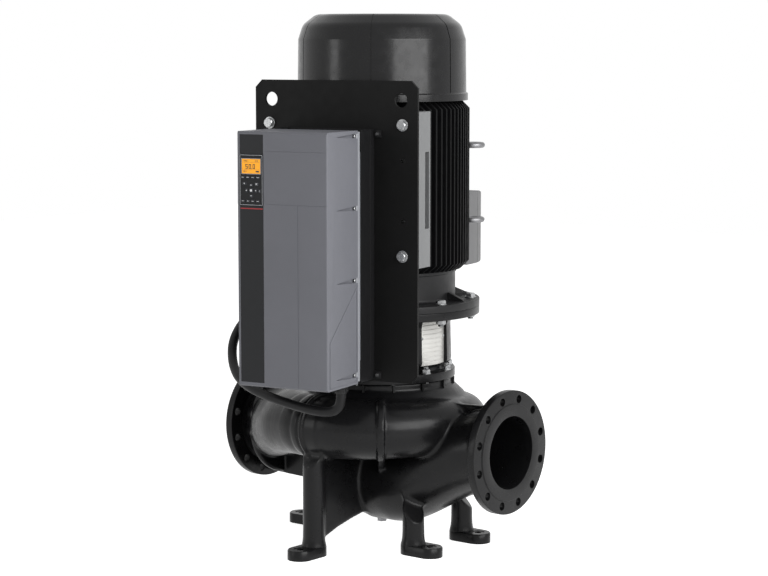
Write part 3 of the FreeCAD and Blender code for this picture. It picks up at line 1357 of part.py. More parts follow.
def make_keypad():
    """The keypad's housing, with a pocket for the display and one for each key."""
    body = new_body("keypad_module", True)
    block(body, (STRIP_LEFT, -KEYPAD_FRONT, KEYPAD_LOW), (D.strip_width, D.keypad_depth, D.keypad_height))
    x, z = display_corner()
    block(body, (x, -KEYPAD_FRONT - 1, z), (D.display_width, D.window_sheet + 1, D.display_height), cut=True)
    gap = D.key_gap
    depth = D.key_sink + D.key_travel + 0.2
    for key_x, key_z, width, height in KEYS.values():
        corner = (STRIP_LEFT + key_x - width / 2 - gap, -KEYPAD_FRONT - 1,
                  KEYPAD_LOW + key_z - height / 2 - gap)
        block(body, corner, (width + gap * 2, depth + 1, height + gap * 2), cut=True)
    return body


def make_display():
    body = new_body("display_window", True)
    x, z = display_corner()
    block(body, (x, -KEYPAD_FRONT, z), (D.display_width, D.window_sheet, D.display_height))
    return body


def make_key(name):
    body = new_body(name, True)
    key_x, key_z, width, height = KEYS[name]
    corner = (STRIP_LEFT + key_x - width / 2, -KEYPAD_FRONT - D.key_rise, KEYPAD_LOW + key_z - height / 2)
    block(body, corner, (width, D.key_rise + D.key_sink, height))
    return body


def cable_path(points):
    """Straight runs joined by tangent arcs, each arc as large as its two runs allow."""
    points = [Vector(*point) for point in points]
    edges = []
    start = points[0]
    radii = []
    for before, corner, after in zip(points, points[1:], points[2:]):
        back = before - corner
        ahead = after - corner
        reach = 0.45 * min(back.Length, ahead.Length)
        half_turn = (math.pi - back.getAngle(ahead)) / 2
        radius = reach / math.tan(half_turn)
        radii.append(radius)
        back.normalize()
        ahead.normalize()
        enter = corner + back * reach
        leave = corner + ahead * reach
        middle_way = back + ahead
        middle_way.normalize()
        middle = corner + middle_way * (radius / math.cos(half_turn) - radius)
        edges.append(Part.LineSegment(start, enter).toShape())
        edges.append(Part.Arc(enter, middle, leave).toShape())
        start = leave
    edges.append(Part.LineSegment(start, points[-1]).toShape())
    return Part.Wire(edges), radii


def make_cable():
    """The motor cable as one tube along its route."""
    cable = document.addObject("Part::Feature", "motor_cable")
    cable.Label = "motor_cable"
    path, radii = cable_path(CABLE_ROUTE)
    radius = sheet.get("cable_diameter") / 2
    first = Vector(*CABLE_ROUTE[0])
    section = Part.Wire([Part.Circle(first, Vector(*CABLE_ROUTE[1]) - first, radius).toShape()])
    cable.Shape = path.makePipeShell([section], True, False)
    turn(cable, D.head_turn)
    expected = math.pi * radius ** 2 * path.Length
    print("cable length %.0f, volume %.4f of expected" % (path.Length, cable.Shape.Volume / expected))
    print("cable radii", [round(value) for value in radii])
    return cable


def export_all(bodies):
    """Check every object, then write one file for each sub-part."""
    document.recompute()
    for item in document.Objects:
        bad = [word for word in item.State if word in ("Invalid", "Error")]
        if bad:
            raise RuntimeError("%s is %s" % (item.Label, bad))
    os.makedirs("parts", exist_ok=True)
    for body in bodies:
        shape = body.Shape
        if shape.isNull() or not shape.isValid():
            raise RuntimeError("%s has no sound shape" % body.Label)
        shape.exportStep("parts/%s.step" % body.Label)
        print("%-26s %3d solids %10.1f cm3" % (body.Label, len(shape.Solids), shape.Volume / 1000))


MAKERS = [
    make_casing, make_wear_ring, make_plugs, make_pump_head, make_head_oring, make_studs,
    make_seal_seat, make_seal_ring, make_impeller, make_impeller_nut, make_pump_shaft,
    make_coupling_screws, make_stool, make_guards, make_motor_shaft, make_rotor_core,
    make_stator_core, make_windings, make_balls, make_drive_end_shield, make_flange_bolts,
    make_motor_frame, make_eyebolts, make_fan_end_shield, make_fan, make_fan_cover,
    make_cover_screws, make_terminal_box, make_box_lid, make_cable_glands, make_cable, make_plate,
    make_plate_bolts, make_channel, make_heat_sink, make_base_frame, make_converter_cover,
    make_strip, make_keypad, make_display,
]


def build():
    sub_parts = [maker() for maker in MAKERS]
    sub_parts.append(coupling_half("coupling_half_front", -1))
    sub_parts.append(coupling_half("coupling_half_back", 1))
    ball_circle = (D.bearing_bore + D.bearing_radius) / 2
    sub_parts.append(bearing_rings("bearing_outer_rings", ball_circle + TRACK_SHOULDER,
                                   D.bearing_radius, 1, True))
    sub_parts.append(bearing_rings("bearing_inner_rings", D.bearing_bore,
                                   ball_circle - TRACK_SHOULDER, -1, False))
    sub_parts += [make_key(name) for name in KEYS]
    export_all(sub_parts)


build()
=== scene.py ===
"""Looks of the in-line pump: finish, fine form and light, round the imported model.

Lengths in this script are millimetres in the row's axes, as in the model, and turn into metres where
a mesh is made. "In the head" means the motor's own axes, turned by HEAD_TURN about the shaft.
"""
from math import cos, hypot, pi, radians, sin, sqrt, tan

import bmesh
import bpy
import numpy as np
from mathutils import Matrix, Vector


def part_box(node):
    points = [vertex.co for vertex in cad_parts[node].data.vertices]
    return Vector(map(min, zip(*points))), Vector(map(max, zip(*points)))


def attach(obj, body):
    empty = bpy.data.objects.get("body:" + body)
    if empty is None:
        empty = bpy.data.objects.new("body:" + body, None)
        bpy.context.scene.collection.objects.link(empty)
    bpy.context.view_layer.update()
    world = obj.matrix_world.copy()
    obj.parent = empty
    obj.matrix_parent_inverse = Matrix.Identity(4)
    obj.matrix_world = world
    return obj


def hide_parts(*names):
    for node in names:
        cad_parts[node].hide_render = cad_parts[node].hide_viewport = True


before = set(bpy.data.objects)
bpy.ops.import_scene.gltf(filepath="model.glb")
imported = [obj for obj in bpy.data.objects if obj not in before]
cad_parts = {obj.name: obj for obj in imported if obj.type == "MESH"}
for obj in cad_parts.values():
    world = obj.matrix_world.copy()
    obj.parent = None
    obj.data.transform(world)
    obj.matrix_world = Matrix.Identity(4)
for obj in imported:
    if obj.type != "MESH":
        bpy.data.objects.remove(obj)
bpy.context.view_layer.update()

MM = 0.001
HEAD_TURN = radians(11.25)
FORWARD = (0, -1, 0)

# Heights of the seats between the main parts
NECK_TOP = 468.5
STOOL_SEAT = 491.5
STOOL_TOP = 669.5
FRAME_LOW = 774
FRAME_TOP = 1243
COVER_TOP = 1480
PORT_HEIGHT = 295
SCROLL_AXIS = 350
BOWL_AXIS = 176

# Ports
PORT_FACE = 450
PORT_BORE = 100
FLANGE_RADIUS = 170
FLANGE_BACK = 424
FLANGE_PITCH = 147.5
FLANGE_HOLES = 12
FLANGE_HOLE = 11.5
RAISED_FACE = 134

# Mounting plate and converter, in the head
PLATE_BACK = 265
PLATE_FRONT = 273
CHANNEL_FRONT = 348
BASE_FRONT = 368
CONVERTER_FRONT = 535
CONVERTER_LEFT = -150
CONVERTER_RIGHT = 119
CONVERTER_LOW = 501
CONVERTER_TOP = 1173
STRIP_LEFT = -142
STRIP_WIDTH = 71
STRIP_LOW = 512
STRIP_TOP = 1165
KEYPAD_LOW = 979
KEYPAD_TOP = 1113
KEYPAD_FRONT = 537

# Motor: its flange, and its feet and eyebolts as rises above the frame's foot
MOTOR_FLANGE = 275
MOTOR_FLANGE_LOW = STOOL_TOP - 22
MOTOR_FLANGE_TOP = STOOL_TOP + 20
MOTOR_PITCH = 250
MOTOR_HOLE = 9.25
FOOT_SIDE = 203
FOOT_RISES = (62, 411)
EYEBOLT_ANGLE = 45
EYEBOLT_RISES = (127, 339)
BOX_LOW = 756
BOX_TOP = 970

# Room that the plate and the channel leave round the motor's flange
RELIEF_LOW = MOTOR_FLANGE_LOW - 10
RELIEF_TOP = MOTOR_FLANGE_TOP + 10


class Shape:
    """Points in millimetres and the faces between them."""

    def __init__(self, points, faces):
        self.points = np.asarray(points, dtype=float).reshape(-1, 3)
        self.faces = [tuple(int(corner) for corner in face) for face in faces]

    def __add__(self, other):
        count = len(self.points)
        faces = self.faces + [tuple(corner + count for corner in face) for face in other.faces]
        return Shape(np.vstack([self.points, other.points]), faces)

    def shifted(self, x=0.0, y=0.0, z=0.0):
        return Shape(self.points + np.array([x, y, z], dtype=float), self.faces)

    def turned(self, matrix):
        return Shape(self.points @ np.array(matrix, dtype=float).T, self.faces)


def together(shapes):
    shapes = list(shapes)
    whole = shapes[0]
    for shape in shapes[1:]:
        whole = whole + shape
    return whole


def about_z(angle):
    return Matrix.Rotation(angle, 3, "Z")


def around(shape, angles):
    """Copies of a shape turned about the shaft axis, angles in degrees."""
    return together(shape.turned(about_z(radians(angle))) for angle in angles)


def aimed(shape, at, direction, spin=0.0):
    """A copy whose Z axis points along a direction from a point."""
    aim = Vector(direction).to_track_quat("Z", "Y").to_matrix() @ about_z(spin)
    return shape.turned(aim).shifted(*at)


def rounded(outline, radii, steps=6):
    """An outline with arcs for corners. radii is one radius, or one for each corner."""
    count = len(outline)
    radii = [radii] * count if isinstance(radii, (int, float)) else radii
    corners = [Vector((point[0], point[1])) for point in outline]
    result = []
    for index, corner in enumerate(corners):
        back = corners[index - 1] - corner
        ahead = corners[(index + 1) % count] - corner
        radius = radii[index]
        half = back.angle(ahead, 0) / 2
        if radius <= 0 or half < 0.01 or half > pi / 2 - 0.01:
            result.append(tuple(corner))
            continue
        reach = min(radius / tan(half), back.length * 0.49, ahead.length * 0.49)
        start = corner + back.normalized() * reach
        end = corner + ahead.normalized() * reach
        radius = reach * tan(half)
        centre = corner + (back.normalized() + ahead.normalized()).normalized() * (radius / sin(half))
        first = start - centre
        sweep = first.angle_signed(end - centre)
        for step in range(steps + 1):
            angle = -sweep * step / steps
            turned = Vector((first.x * cos(angle) - first.y * sin(angle),
                             first.x * sin(angle) + first.y * cos(angle)))
            result.append(tuple(centre + turned))
    return result


def lathe(profile, segments=160, start=0.0, sweep=360.0):
    """Revolve a closed profile of (radius, height) about Z, fully or over part of a turn."""
    whole = sweep >= 360
    rings = segments if whole else segments + 1
    angles = np.radians(start + sweep * np.arange(rings) / segments)
    radii = np.array([point[0] for point in profile])
    heights = np.array([point[1] for point in profile])
    points = np.stack([np.outer(np.cos(angles), radii), np.outer(np.sin(angles), radii),
                       np.tile(heights, (rings, 1))], axis=-1).reshape(-1, 3)
    count = len(profile)
    faces = []
    for ring in range(segments):
        after = (ring + 1) % rings
        for index in range(count):
            other = (index + 1) % count
            faces.append((ring * count + index, after * count + index, after * count + other,
                          ring * count + other))
    if not whole:
        faces.append(tuple(range(count)))
        faces.append(tuple(range((rings - 1) * count, rings * count))[::-1])
    return Shape(points, faces)


def slab(outline, low, high, axis="z"):
    """A flat outline pushed out between two levels along an axis."""
    return stacked([(outline, low), (outline, high)], axis)


def stacked(sections, axis="z"):
    """A solid through outlines of one count of points, each at its level along an axis."""
    points = []
    for outline, level in sections:
        for first, second in outline:
            points.append({"z": (first, second, level), "y": (first, level, second),
                           "x": (level, first, second)}[axis])
    count = len(sections[0][0])
    last = count * (len(sections) - 1)
    faces = [tuple(range(count))[::-1], tuple(range(last, last + count))]
    for layer in range(len(sections) - 1):
        start = layer * count
        for index in range(count):
            other = (index + 1) % count
            faces.append((start + index, start + other, start + count + other, start + count + index))
    return Shape(points, faces)


def rectangle(left, low, right, top):
    return [(left, low), (right, low), (right, top), (left, top)]


def circle(radius, centre=(0, 0), steps=48):
    return [(centre[0] + radius * cos(2 * pi * step / steps),
             centre[1] + radius * sin(2 * pi * step / steps)) for step in range(steps)]


def box(low, high):
    return slab(rectangle(low[0], low[1], high[0], high[1]), low[2], high[2])


def disc(radius, low, high, steps=48):
    return slab(circle(radius, steps=steps), low, high)


def mesh_of(name, shape):
    """A Blender mesh in metres, with doubled points joined and faces looking outwards."""
    mesh = bpy.data.meshes.new(name)
    mesh.from_pydata((shape.points * MM).tolist(), [], shape.faces)
    work = bmesh.new()
    work.from_mesh(mesh)
    bmesh.ops.remove_doubles(work, verts=work.verts, dist=1e-6)
    bmesh.ops.recalc_face_normals(work, faces=work.faces)
    work.to_mesh(mesh)
    work.free()
    return mesh


def object_of(name, shape):
    thing = bpy.data.objects.new(name, mesh_of(name, shape))
    bpy.context.scene.collection.objects.link(thing)
    return thing


def shape_of(mesh):
    points = np.empty(len(mesh.vertices) * 3)
    mesh.vertices.foreach_get("co", points)
    return Shape(points.reshape(-1, 3) / MM, [tuple(face.vertices) for face in mesh.polygons])


def boolean(operation, shape, tools):
    """Difference or intersection of a solid and tools, one tool after the other."""
    target = object_of("target", shape)
    helpers = []
    for tool in tools:
        helper = object_of("tool", tool)
        helpers.append(helper)
        modifier = target.modifiers.new("boolean", "BOOLEAN")
        modifier.operation = operation
        modifier.solver = "MANIFOLD"
        modifier.object = helper
    graph = bpy.context.evaluated_depsgraph_get()
    mesh = bpy.data.meshes.new_from_object(target.evaluated_get(graph))
    result = shape_of(mesh)
    bpy.data.meshes.remove(mesh)
    for thing in [target] + helpers:
        data = thing.data
        bpy.data.objects.remove(thing)
        bpy.data.meshes.remove(data)
    return result


def cut(shape, *tools):
    return boolean("DIFFERENCE", shape, tools)


def within(shape, *tools):
    return boolean("INTERSECT", shape, tools)


def piece(name, shape, slot, node=None, body="pump", bevel=0.0, segments=3, angle=35.0):
    """A finished piece that rides on a body, and stands for a node where one is given."""
    thing = object_of(name, shape)
    mesh = thing.data
    if bevel:
        work = bmesh.new()
        work.from_mesh(mesh)
        bmesh.ops.dissolve_limit(work, angle_limit=radians(0.3), verts=work.verts, edges=work.edges)
        work.to_mesh(mesh)
        work.free()
        modifier = thing.modifiers.new("soft_edges", "BEVEL")
        modifier.width = bevel * MM
        modifier.segments = segments
        modifier.limit_method = "ANGLE"
        modifier.angle_limit = radians(angle)
        modifier.harden_normals = True
    mesh.shade_smooth()
    mesh.set_sharp_from_angle(angle=radians(angle))
    mesh.materials.append(FINISHES[slot])
    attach(thing, body)
    if node:
        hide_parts(node)


def head_piece(name, shape, slot, node=None, **settings):
    """A piece whose shape is given in the head's axes."""
    piece(name, shape.turned(about_z(HEAD_TURN)), slot, node, **settings)


# Finishes

def set_inputs(node, values):
    for name, value in values.items():
        node.inputs[name].default_value = value
    return node


def noise(tree, coordinates, scale, detail=3.0, stretch=None):
    if stretch:
        mapping = set_inputs(tree.nodes.new("ShaderNodeMapping"), {"Scale": stretch})
        tree.links.new(coordinates, mapping.inputs["Vector"])
        coordinates = mapping.outputs["Vector"]
    node = set_inputs(tree.nodes.new("ShaderNodeTexNoise"), {"Scale": scale, "Detail": detail})
    tree.links.new(coordinates, node.inputs["Vector"])
    return node.outputs["Fac"]


def ranged(tree, value, low, high, start=0.3, end=0.7):
    """A value that goes from low to high while the given one goes from start to end."""
    limits = {"From Min": start, "From Max": end, "To Min": low, "To Max": high}
    node = set_inputs(tree.nodes.new("ShaderNodeMapRange"), limits)
    tree.links.new(value, node.inputs["Value"])
    return node.outputs["Result"]


def mixed(tree, factor, first, second):
    node = tree.nodes.new("ShaderNodeMix")
    node.data_type = "RGBA"
    set_inputs(node, {"A": (*first, 1.0), "B": (*second, 1.0)})
    tree.links.new(factor, node.inputs["Factor"])
    return node.outputs["Result"]


def linear(colour):
    """A colour written as sRGB bytes, in linear light."""
    return tuple((channel / 255 / 12.92) if channel <= 10 else ((channel / 255 + 0.055) / 1.055) ** 2.4
                 for channel in colour)


def finish(name, colour, roughness, metallic=0.0, specular=0.5, coat=0.0, coat_roughness=0.12, spread=0.06,
           blotch=(9.0, 0.03), peel=None, grain=None, lines=None, brushed=None, glow=0.0):
    """One procedural finish. Scales are per metre, and depths are in mm.

    blotch is (scale, amount), peel and grain are (scale, depth), lines are (scale, depth, direction), and
    brushed is how much the noise is stretched along each axis.
    """
    material = bpy.data.materials.new(name)
    material.use_nodes = True
    tree = material.node_tree
    shader = tree.nodes["Principled BSDF"]
    coordinates = tree.nodes.new("ShaderNodeTexCoord").outputs["Object"]
    base = linear(colour)
    scale, amount = blotch
    factor = ranged(tree, noise(tree, coordinates, scale, 5.0), 0.0, 1.0)
    shade = mixed(tree, factor, [channel * (1 - amount) for channel in base],
                  [min(1.0, channel * (1 + amount)) for channel in base])
    tree.links.new(shade, shader.inputs["Base Color"])
    uneven = noise(tree, coordinates, scale * 4.5, 4.0, brushed)
    tree.links.new(ranged(tree, uneven, max(0.03, roughness - spread), min(1.0, roughness + spread)),
                   shader.inputs["Roughness"])
    set_inputs(shader, {"Metallic": metallic, "Specular IOR Level": specular, "Coat Weight": coat,
                        "Coat Roughness": coat_roughness})
    if glow:
        set_inputs(shader, {"Emission Color": (*base, 1.0), "Emission Strength": glow})
    normal = None
    heights = []
    if peel:
        heights.append((noise(tree, coordinates, peel[0], 2.0), peel[1]))
    if grain:
        heights.append((noise(tree, coordinates, grain[0], 4.0), grain[1]))
    if brushed:
        heights.append((noise(tree, coordinates, 140.0, 2.0, brushed), 0.03))
    if lines:
        wave = set_inputs(tree.nodes.new("ShaderNodeTexWave"), {"Scale": lines[0], "Distortion": 0.0})
        wave.bands_direction = lines[2]
        tree.links.new(coordinates, wave.inputs["Vector"])
        heights.append((wave.outputs["Fac"], lines[1]))
    for height, depth in heights:
        bump = set_inputs(tree.nodes.new("ShaderNodeBump"), {"Strength": 1.0, "Distance": depth * MM})
        tree.links.new(height, bump.inputs["Height"])
        if normal:
            tree.links.new(normal, bump.inputs["Normal"])
        normal = bump.outputs["Normal"]
    if normal:
        tree.links.new(normal, shader.inputs["Normal"])
    return material


CAST = dict(peel=(55.0, 0.10), grain=(420.0, 0.035))
LOOKS = {
    "pump_black": dict(colour=(19, 19, 20), roughness=0.31, specular=0.17, coat=0.03, coat_roughness=0.1,
                       **CAST),
    "bronze": dict(colour=(176, 128, 72), roughness=0.38, metallic=1.0, grain=(500.0, 0.03)),
    "dark_steel": dict(colour=(128, 128, 130), roughness=0.42, metallic=1.0, grain=(600.0, 0.02)),
    "seal_rubber": dict(colour=(24, 24, 25), roughness=0.62, grain=(900.0, 0.02)),
    "zinc": dict(colour=(158, 159, 160), roughness=0.27, metallic=0.85, blotch=(160.0, 0.10), spread=0.12,
                 grain=(700.0, 0.015)),
    "ceramic": dict(colour=(70, 66, 62), roughness=0.24, grain=(900.0, 0.01)),
    "stainless": dict(colour=(190, 188, 184), roughness=0.26, metallic=1.0, brushed=(1.0, 1.0, 30.0)),
    "coupling_iron": dict(colour=(96, 97, 99), roughness=0.40, metallic=0.8, grain=(400.0, 0.04)),
    "guard_ivory": dict(colour=(204, 203, 199), roughness=0.40, metallic=0.5, brushed=(1.0, 1.0, 40.0)),
    "bright_steel": dict(colour=(186, 187, 190), roughness=0.24, metallic=1.0, brushed=(1.0, 1.0, 25.0)),
    "lamination": dict(colour=(120, 122, 126), roughness=0.45, metallic=0.9, lines=(320.0, 0.10, "Z")),
    "copper": dict(colour=(184, 96, 52), roughness=0.36, metallic=0.9, lines=(140.0, 0.4, "Z")),
    "bearing_steel": dict(colour=(200, 201, 204), roughness=0.16, metallic=1.0, grain=(900.0, 0.005)),
    "motor_grey": dict(colour=(24, 24, 25), roughness=0.42, specular=0.22, **CAST),
    "fan_plastic": dict(colour=(34, 34, 36), roughness=0.5, grain=(700.0, 0.02)),
    "fan_cover_gloss": dict(colour=(19, 19, 20), roughness=0.24, specular=0.25, coat=0.05, coat_roughness=0.1,
                            peel=(22.0, 0.005), grain=(500.0, 0.003)),
    # The terminal box in a grey lighter than the motor's black: a painted reflection of the right-hand light
    # on its faces.
    "box_grey": dict(colour=(112, 112, 113), roughness=0.46, grain=(420.0, 0.04)),
    "gland_plastic": dict(colour=(26, 26, 27), roughness=0.44, specular=0.25, grain=(900.0, 0.02)),
    "cable_black": dict(colour=(20, 20, 21), roughness=0.48, specular=0.2, grain=(700.0, 0.03)),
    "plate_black": dict(colour=(16, 16, 16), roughness=0.52, specular=0.12, grain=(900.0, 0.02)),
    "channel_black": dict(colour=(22, 22, 23), roughness=0.46, specular=0.16, grain=(800.0, 0.02)),
    "bare_aluminium": dict(colour=(196, 198, 202), roughness=0.32, metallic=1.0, brushed=(1.0, 1.0, 20.0)),
    "converter_grey": dict(colour=(150, 152, 157), roughness=0.48, grain=(900.0, 0.02)),
    "converter_cover_grey": dict(colour=(112, 113, 119), roughness=0.46, specular=0.3, grain=(1100.0, 0.025)),
    "strip_black": dict(colour=(32, 33, 35), roughness=0.34, specular=0.2, grain=(1200.0, 0.01)),
    "keypad_dark": dict(colour=(18, 19, 21), roughness=0.4, specular=0.2, grain=(1200.0, 0.01)),
    "display_glass": dict(colour=(250, 168, 22), roughness=0.18, glow=0.35, grain=(1500.0, 0.004)),
    "key_grey": dict(colour=(44, 46, 50), roughness=0.45, specular=0.25, grain=(1200.0, 0.015)),
    # Fins in a black darker than the frame's paint: the black paint with painted shade between the fins.
    "fin_black_and_painted_shade": dict(colour=(12, 12, 13), roughness=0.5, specular=0.10, grain=(420.0, 0.03)),
    # The foot rails in light grey: a painted reflection of the right-hand light on the black rails.
    "rail_painted_reflection_grey": dict(colour=(116, 117, 118), roughness=0.44, grain=(500.0, 0.03)),
    "mark_white": dict(colour=(232, 233, 235), roughness=0.5),
    "mark_dark": dict(colour=(18, 13, 6), roughness=0.4),
    "stripe_red": dict(colour=(168, 28, 36), roughness=0.4),
    "trim_silver": dict(colour=(176, 178, 182), roughness=0.35, metallic=0.4),
}
FINISHES = {name: finish(name, **look) for name, look in LOOKS.items()}


# Casing: one field of distances, so that the casting's forms run into each other with fillets

def blend(first, second, radius):
    """The nearer of two fields, with a fillet where they meet."""
    share = np.clip(0.5 + 0.5 * (second - first) / radius, 0, 1)
    return second + (first - second) * share - radius * share * (1 - share)


def hollowed(field, other, radius=3.0):
    """The first field without the second, with a small radius on the edge."""
    return -blend(-field, other, radius)


def outline_distance(outline, u, v):
    """Signed distance from points (u, v) to a closed outline, below zero inside it."""
    nearest = np.full(np.broadcast(u, v).shape, np.inf)
    inside = np.zeros(nearest.shape, dtype=bool)
    for (u0, v0), (u1, v1) in zip(outline, outline[1:] + outline[:1]):
        along_u, along_v = u1 - u0, v1 - v0
        share = np.clip(((u - u0) * along_u + (v - v0) * along_v) / (along_u ** 2 + along_v ** 2), 0, 1)
        distance = np.hypot(u - u0 - along_u * share, v - v0 - along_v * share)
        nearest = np.minimum(nearest, distance)
        if v0 != v1:
            crosses = ((v0 > v) != (v1 > v)) & (u < along_u * (v - v0) / along_v + u0)
            inside ^= crosses
    return np.where(inside, -nearest, nearest)


def plate_field(outline, u, v, across, thickness, radius=5.0):
    """A flat web with rounded edges."""
    flat = outline_distance(outline, u, v)
    side = np.abs(across) - thickness / 2
    return -blend(-flat, -side, radius)


def smooth_step(share):
    share = np.clip(share, 0.0, 1.0)
    return (1 + np.cos(np.pi * share)) / 2


# Scroll: the azimuths it runs between, its section's radius at both, its inner radius and its wall
SCROLL_FROM = 150
SCROLL_TO = -108
SCROLL_START = 20
THROAT = 74
SCROLL_BASE = 190
WALL = 13


def scroll_radius(angle):
    share = (SCROLL_FROM - angle) / (SCROLL_FROM - SCROLL_TO)
    return np.sqrt(SCROLL_START ** 2 + (THROAT ** 2 - SCROLL_START ** 2) * share)


class Field:
    """The grid that the casing's field is worked out on."""

    def __init__(self, step):
        self.step = step
        self.low = np.array([-430.0, -400.0, -6.0])
        counts = np.ceil((np.array([430.0, 290.0, 480.0]) - self.low) / step).astype(int) + 1
        axes = [self.low[axis] + step * np.arange(counts[axis]) for axis in range(3)]
        self.x = axes[0].reshape(-1, 1, 1).astype(np.float32)
        self.y = axes[1].reshape(1, -1, 1).astype(np.float32)
        self.z = axes[2].reshape(1, 1, -1).astype(np.float32)
        self.out = np.hypot(self.x, self.y)
        self.azimuth = np.degrees(np.arctan2(self.y, self.x))

    def turned_form(self, outline):
        """The distance to an outline revolved about the shaft axis."""
        radii = np.arange(0, 620, self.step)
        table = outline_distance(outline, radii.reshape(-1, 1), self.z.reshape(1, -1)).astype(np.float32)
        place = self.out[:, :, 0] / self.step
        first = np.floor(place).astype(int)
        share = (place - first)[:, :, None]
        return table[first] * (1 - share) + table[first + 1] * share

    def suction(self, wall):
        """The suction branch, whose upright sections sink and widen towards the bowl."""
        share = 1 - self.x / FLANGE_BACK
        drop = 1 - smooth_step((share - 0.05) / 0.80)
        narrow = 1 - smooth_step((share - 0.45) / 0.55)
        radius = PORT_BORE + 5 * narrow + wall + 6 * np.sin(np.pi * np.clip(share, 0, 1))
        middle = PORT_HEIGHT - 119 * drop
        slope = np.gradient(middle[:, 0, 0], self.step).reshape(-1, 1, 1)
        tube = (np.hypot(self.y, self.z - middle) - radius) / np.sqrt(1 + slope ** 2)
        tube = np.maximum(tube, np.maximum(-self.x, self.x - 432))
        bowl = np.sqrt(self.x ** 2 + self.y ** 2 + (self.z - BOWL_AXIS) ** 2) - (105 + wall)
        return blend(tube, bowl, 12)

    def scroll(self, wall):
        """The part of the scroll that runs round the impeller."""
        angle = np.clip(self.azimuth, SCROLL_TO, SCROLL_FROM)
        radius = scroll_radius(angle)
        middle = SCROLL_BASE + 0.8 * radius
        section = np.hypot(self.out - middle, self.z - SCROLL_AXIS) - (radius + wall)
        beyond = np.maximum(self.azimuth - SCROLL_FROM, SCROLL_TO - self.azimuth)
        return np.maximum(section, np.radians(beyond) * self.out)

    def beside(self, angle):
        """Coordinates along and across an upright plane through the shaft at one azimuth."""
        way = radians(angle)
        along = self.x * cos(way) + self.y * sin(way)
        across = self.y * cos(way) - self.x * sin(way)
        return along, across

    def band(self, angle, proud, width):
        """A raised band round the scroll at one azimuth."""
        radius = float(scroll_radius(angle))
        along, across = self.beside(angle)
        ring = np.hypot(along - SCROLL_BASE - radius * 0.8, self.z - SCROLL_AXIS) - (radius + WALL + proud)
        return -blend(-ring, -(np.abs(across) - width / 2), 2)

    def bend(self, route, wall):
        """The discharge bend: upright sections that move, widen and lean along X."""
        order = np.argsort(route[:, 0])
        places = self.x[:, 0, 0]
        window = np.ones(9) / 9
        lines = []
        for column in (1, 2, 3):
            line = np.interp(places, route[order, 0], route[order, column])
            line = np.convolve(np.pad(line, 4, mode="edge"), window, mode="valid")
            lines.append(line.reshape(-1, 1, 1).astype(np.float32))
        slope = np.gradient(lines[0][:, 0, 0], self.step).reshape(-1, 1, 1)
        lean = 1 / np.sqrt(1 + slope ** 2)
        field = np.hypot((self.y - lines[0]) * lean, self.z - lines[1]) - (lines[2] + wall)
        return np.maximum(field, np.maximum(self.x - float(route[0, 0]), -432 - self.x))


def discharge_points():
    """Middle points and radii of the bend from the scroll's throat to the discharge port."""
    points, radii = [], []
    for angle in (-84, -96, SCROLL_TO):
        radius = float(scroll_radius(angle))
        out = SCROLL_BASE + 0.8 * radius
        points.append((out * cos(radians(angle)), out * sin(radians(angle)), SCROLL_AXIS))
        radii.append(radius)
    start = points[-1]
    for along, across, down, widen in ((0.26, 0.20, 0.14, 0.22), (0.52, 0.50, 0.48, 0.50),
                                       (0.78, 0.84, 0.84, 0.80), (1.0, 1.0, 1.0, 1.0), (1.06, 1.0, 1.0, 1.0)):
        points.append((start[0] + (-FLANGE_BACK - start[0]) * along, start[1] * (1 - across),
                       SCROLL_AXIS + (PORT_HEIGHT - SCROLL_AXIS) * down))
        radii.append(THROAT + (PORT_BORE - THROAT) * widen)
    return curve_through([(*point, radius) for point, radius in zip(points, radii)], 6)


def curve_through(points, steps):
    """A smooth curve through points of any dimension."""
    points = [np.array(point, dtype=float) for point in points]
    points = [points[0] * 2 - points[1]] + points + [points[-1] * 2 - points[-2]]
    curve = []
    for before, start, end, after in zip(points, points[1:], points[2:], points[3:]):
        for step in range(steps):
            t = step / steps
            square = (2 * before - 5 * start + 4 * end - after) * t ** 2
            cube = (3 * start - before - 3 * end + after) * t ** 3
            curve.append(0.5 * (2 * start + (end - before) * t + square + cube))
    curve.append(points[-2])
    return curve


def skin(field, low, step):
    """The zero surface of a field: a point in each cell that it crosses, a face round each such edge."""
    counts = np.array(field.shape)
    weights = np.array([counts[1] * counts[2], counts[2], 1])
    cells, places, quads = [], [], []
    for axis in range(3):
        unit = np.eye(3, dtype=int)[axis]
        first = field[tuple(slice(0, -1) if index == axis else slice(1, -1) for index in range(3))]
        second = field[tuple(slice(1, None) if index == axis else slice(1, -1) for index in range(3))]
        found = np.argwhere((first < 0) != (second < 0))
        values = first[tuple(found.T)], second[tuple(found.T)]
        found = found + (1 - unit)
        share = values[0] / (values[0] - values[1])
        crossing = found + unit * share[:, None]
        side, other = np.eye(3, dtype=int)[(axis + 1) % 3], np.eye(3, dtype=int)[(axis + 2) % 3]
        shifts = (0 * side, side, side + other, other)
        ring = np.stack([(found - shift) @ weights for shift in shifts], axis=1)
        ring[values[0] > 0] = ring[values[0] > 0][:, ::-1]
        quads.append(ring)
        cells.append(ring.reshape(-1))
        places.append(np.repeat(crossing, 4, axis=0))
    cells = np.concatenate(cells)
    places = np.concatenate(places)
    names, index = np.unique(cells, return_inverse=True)
    totals = np.bincount(index)
    points = np.stack([np.bincount(index, weights=places[:, axis]) / totals for axis in range(3)], axis=1)
    quads = np.searchsorted(names, np.concatenate(quads))
    for _ in range(5):
        points = relaxed(points, quads)
    return Shape(points * step + low, quads)


def relaxed(points, quads):
    """Points moved halfway to the mean of their neighbours."""
    pairs = np.concatenate([quads[:, [index, (index + 1) % 4]] for index in range(4)])
    start, end = pairs.reshape(-1, 2).T
    totals = np.bincount(start, minlength=len(points))[:, None]
    means = np.stack([np.bincount(start, weights=points[end, axis], minlength=len(points))
                      for axis in range(3)], axis=1) / totals
    return points + (means - points) * 0.5


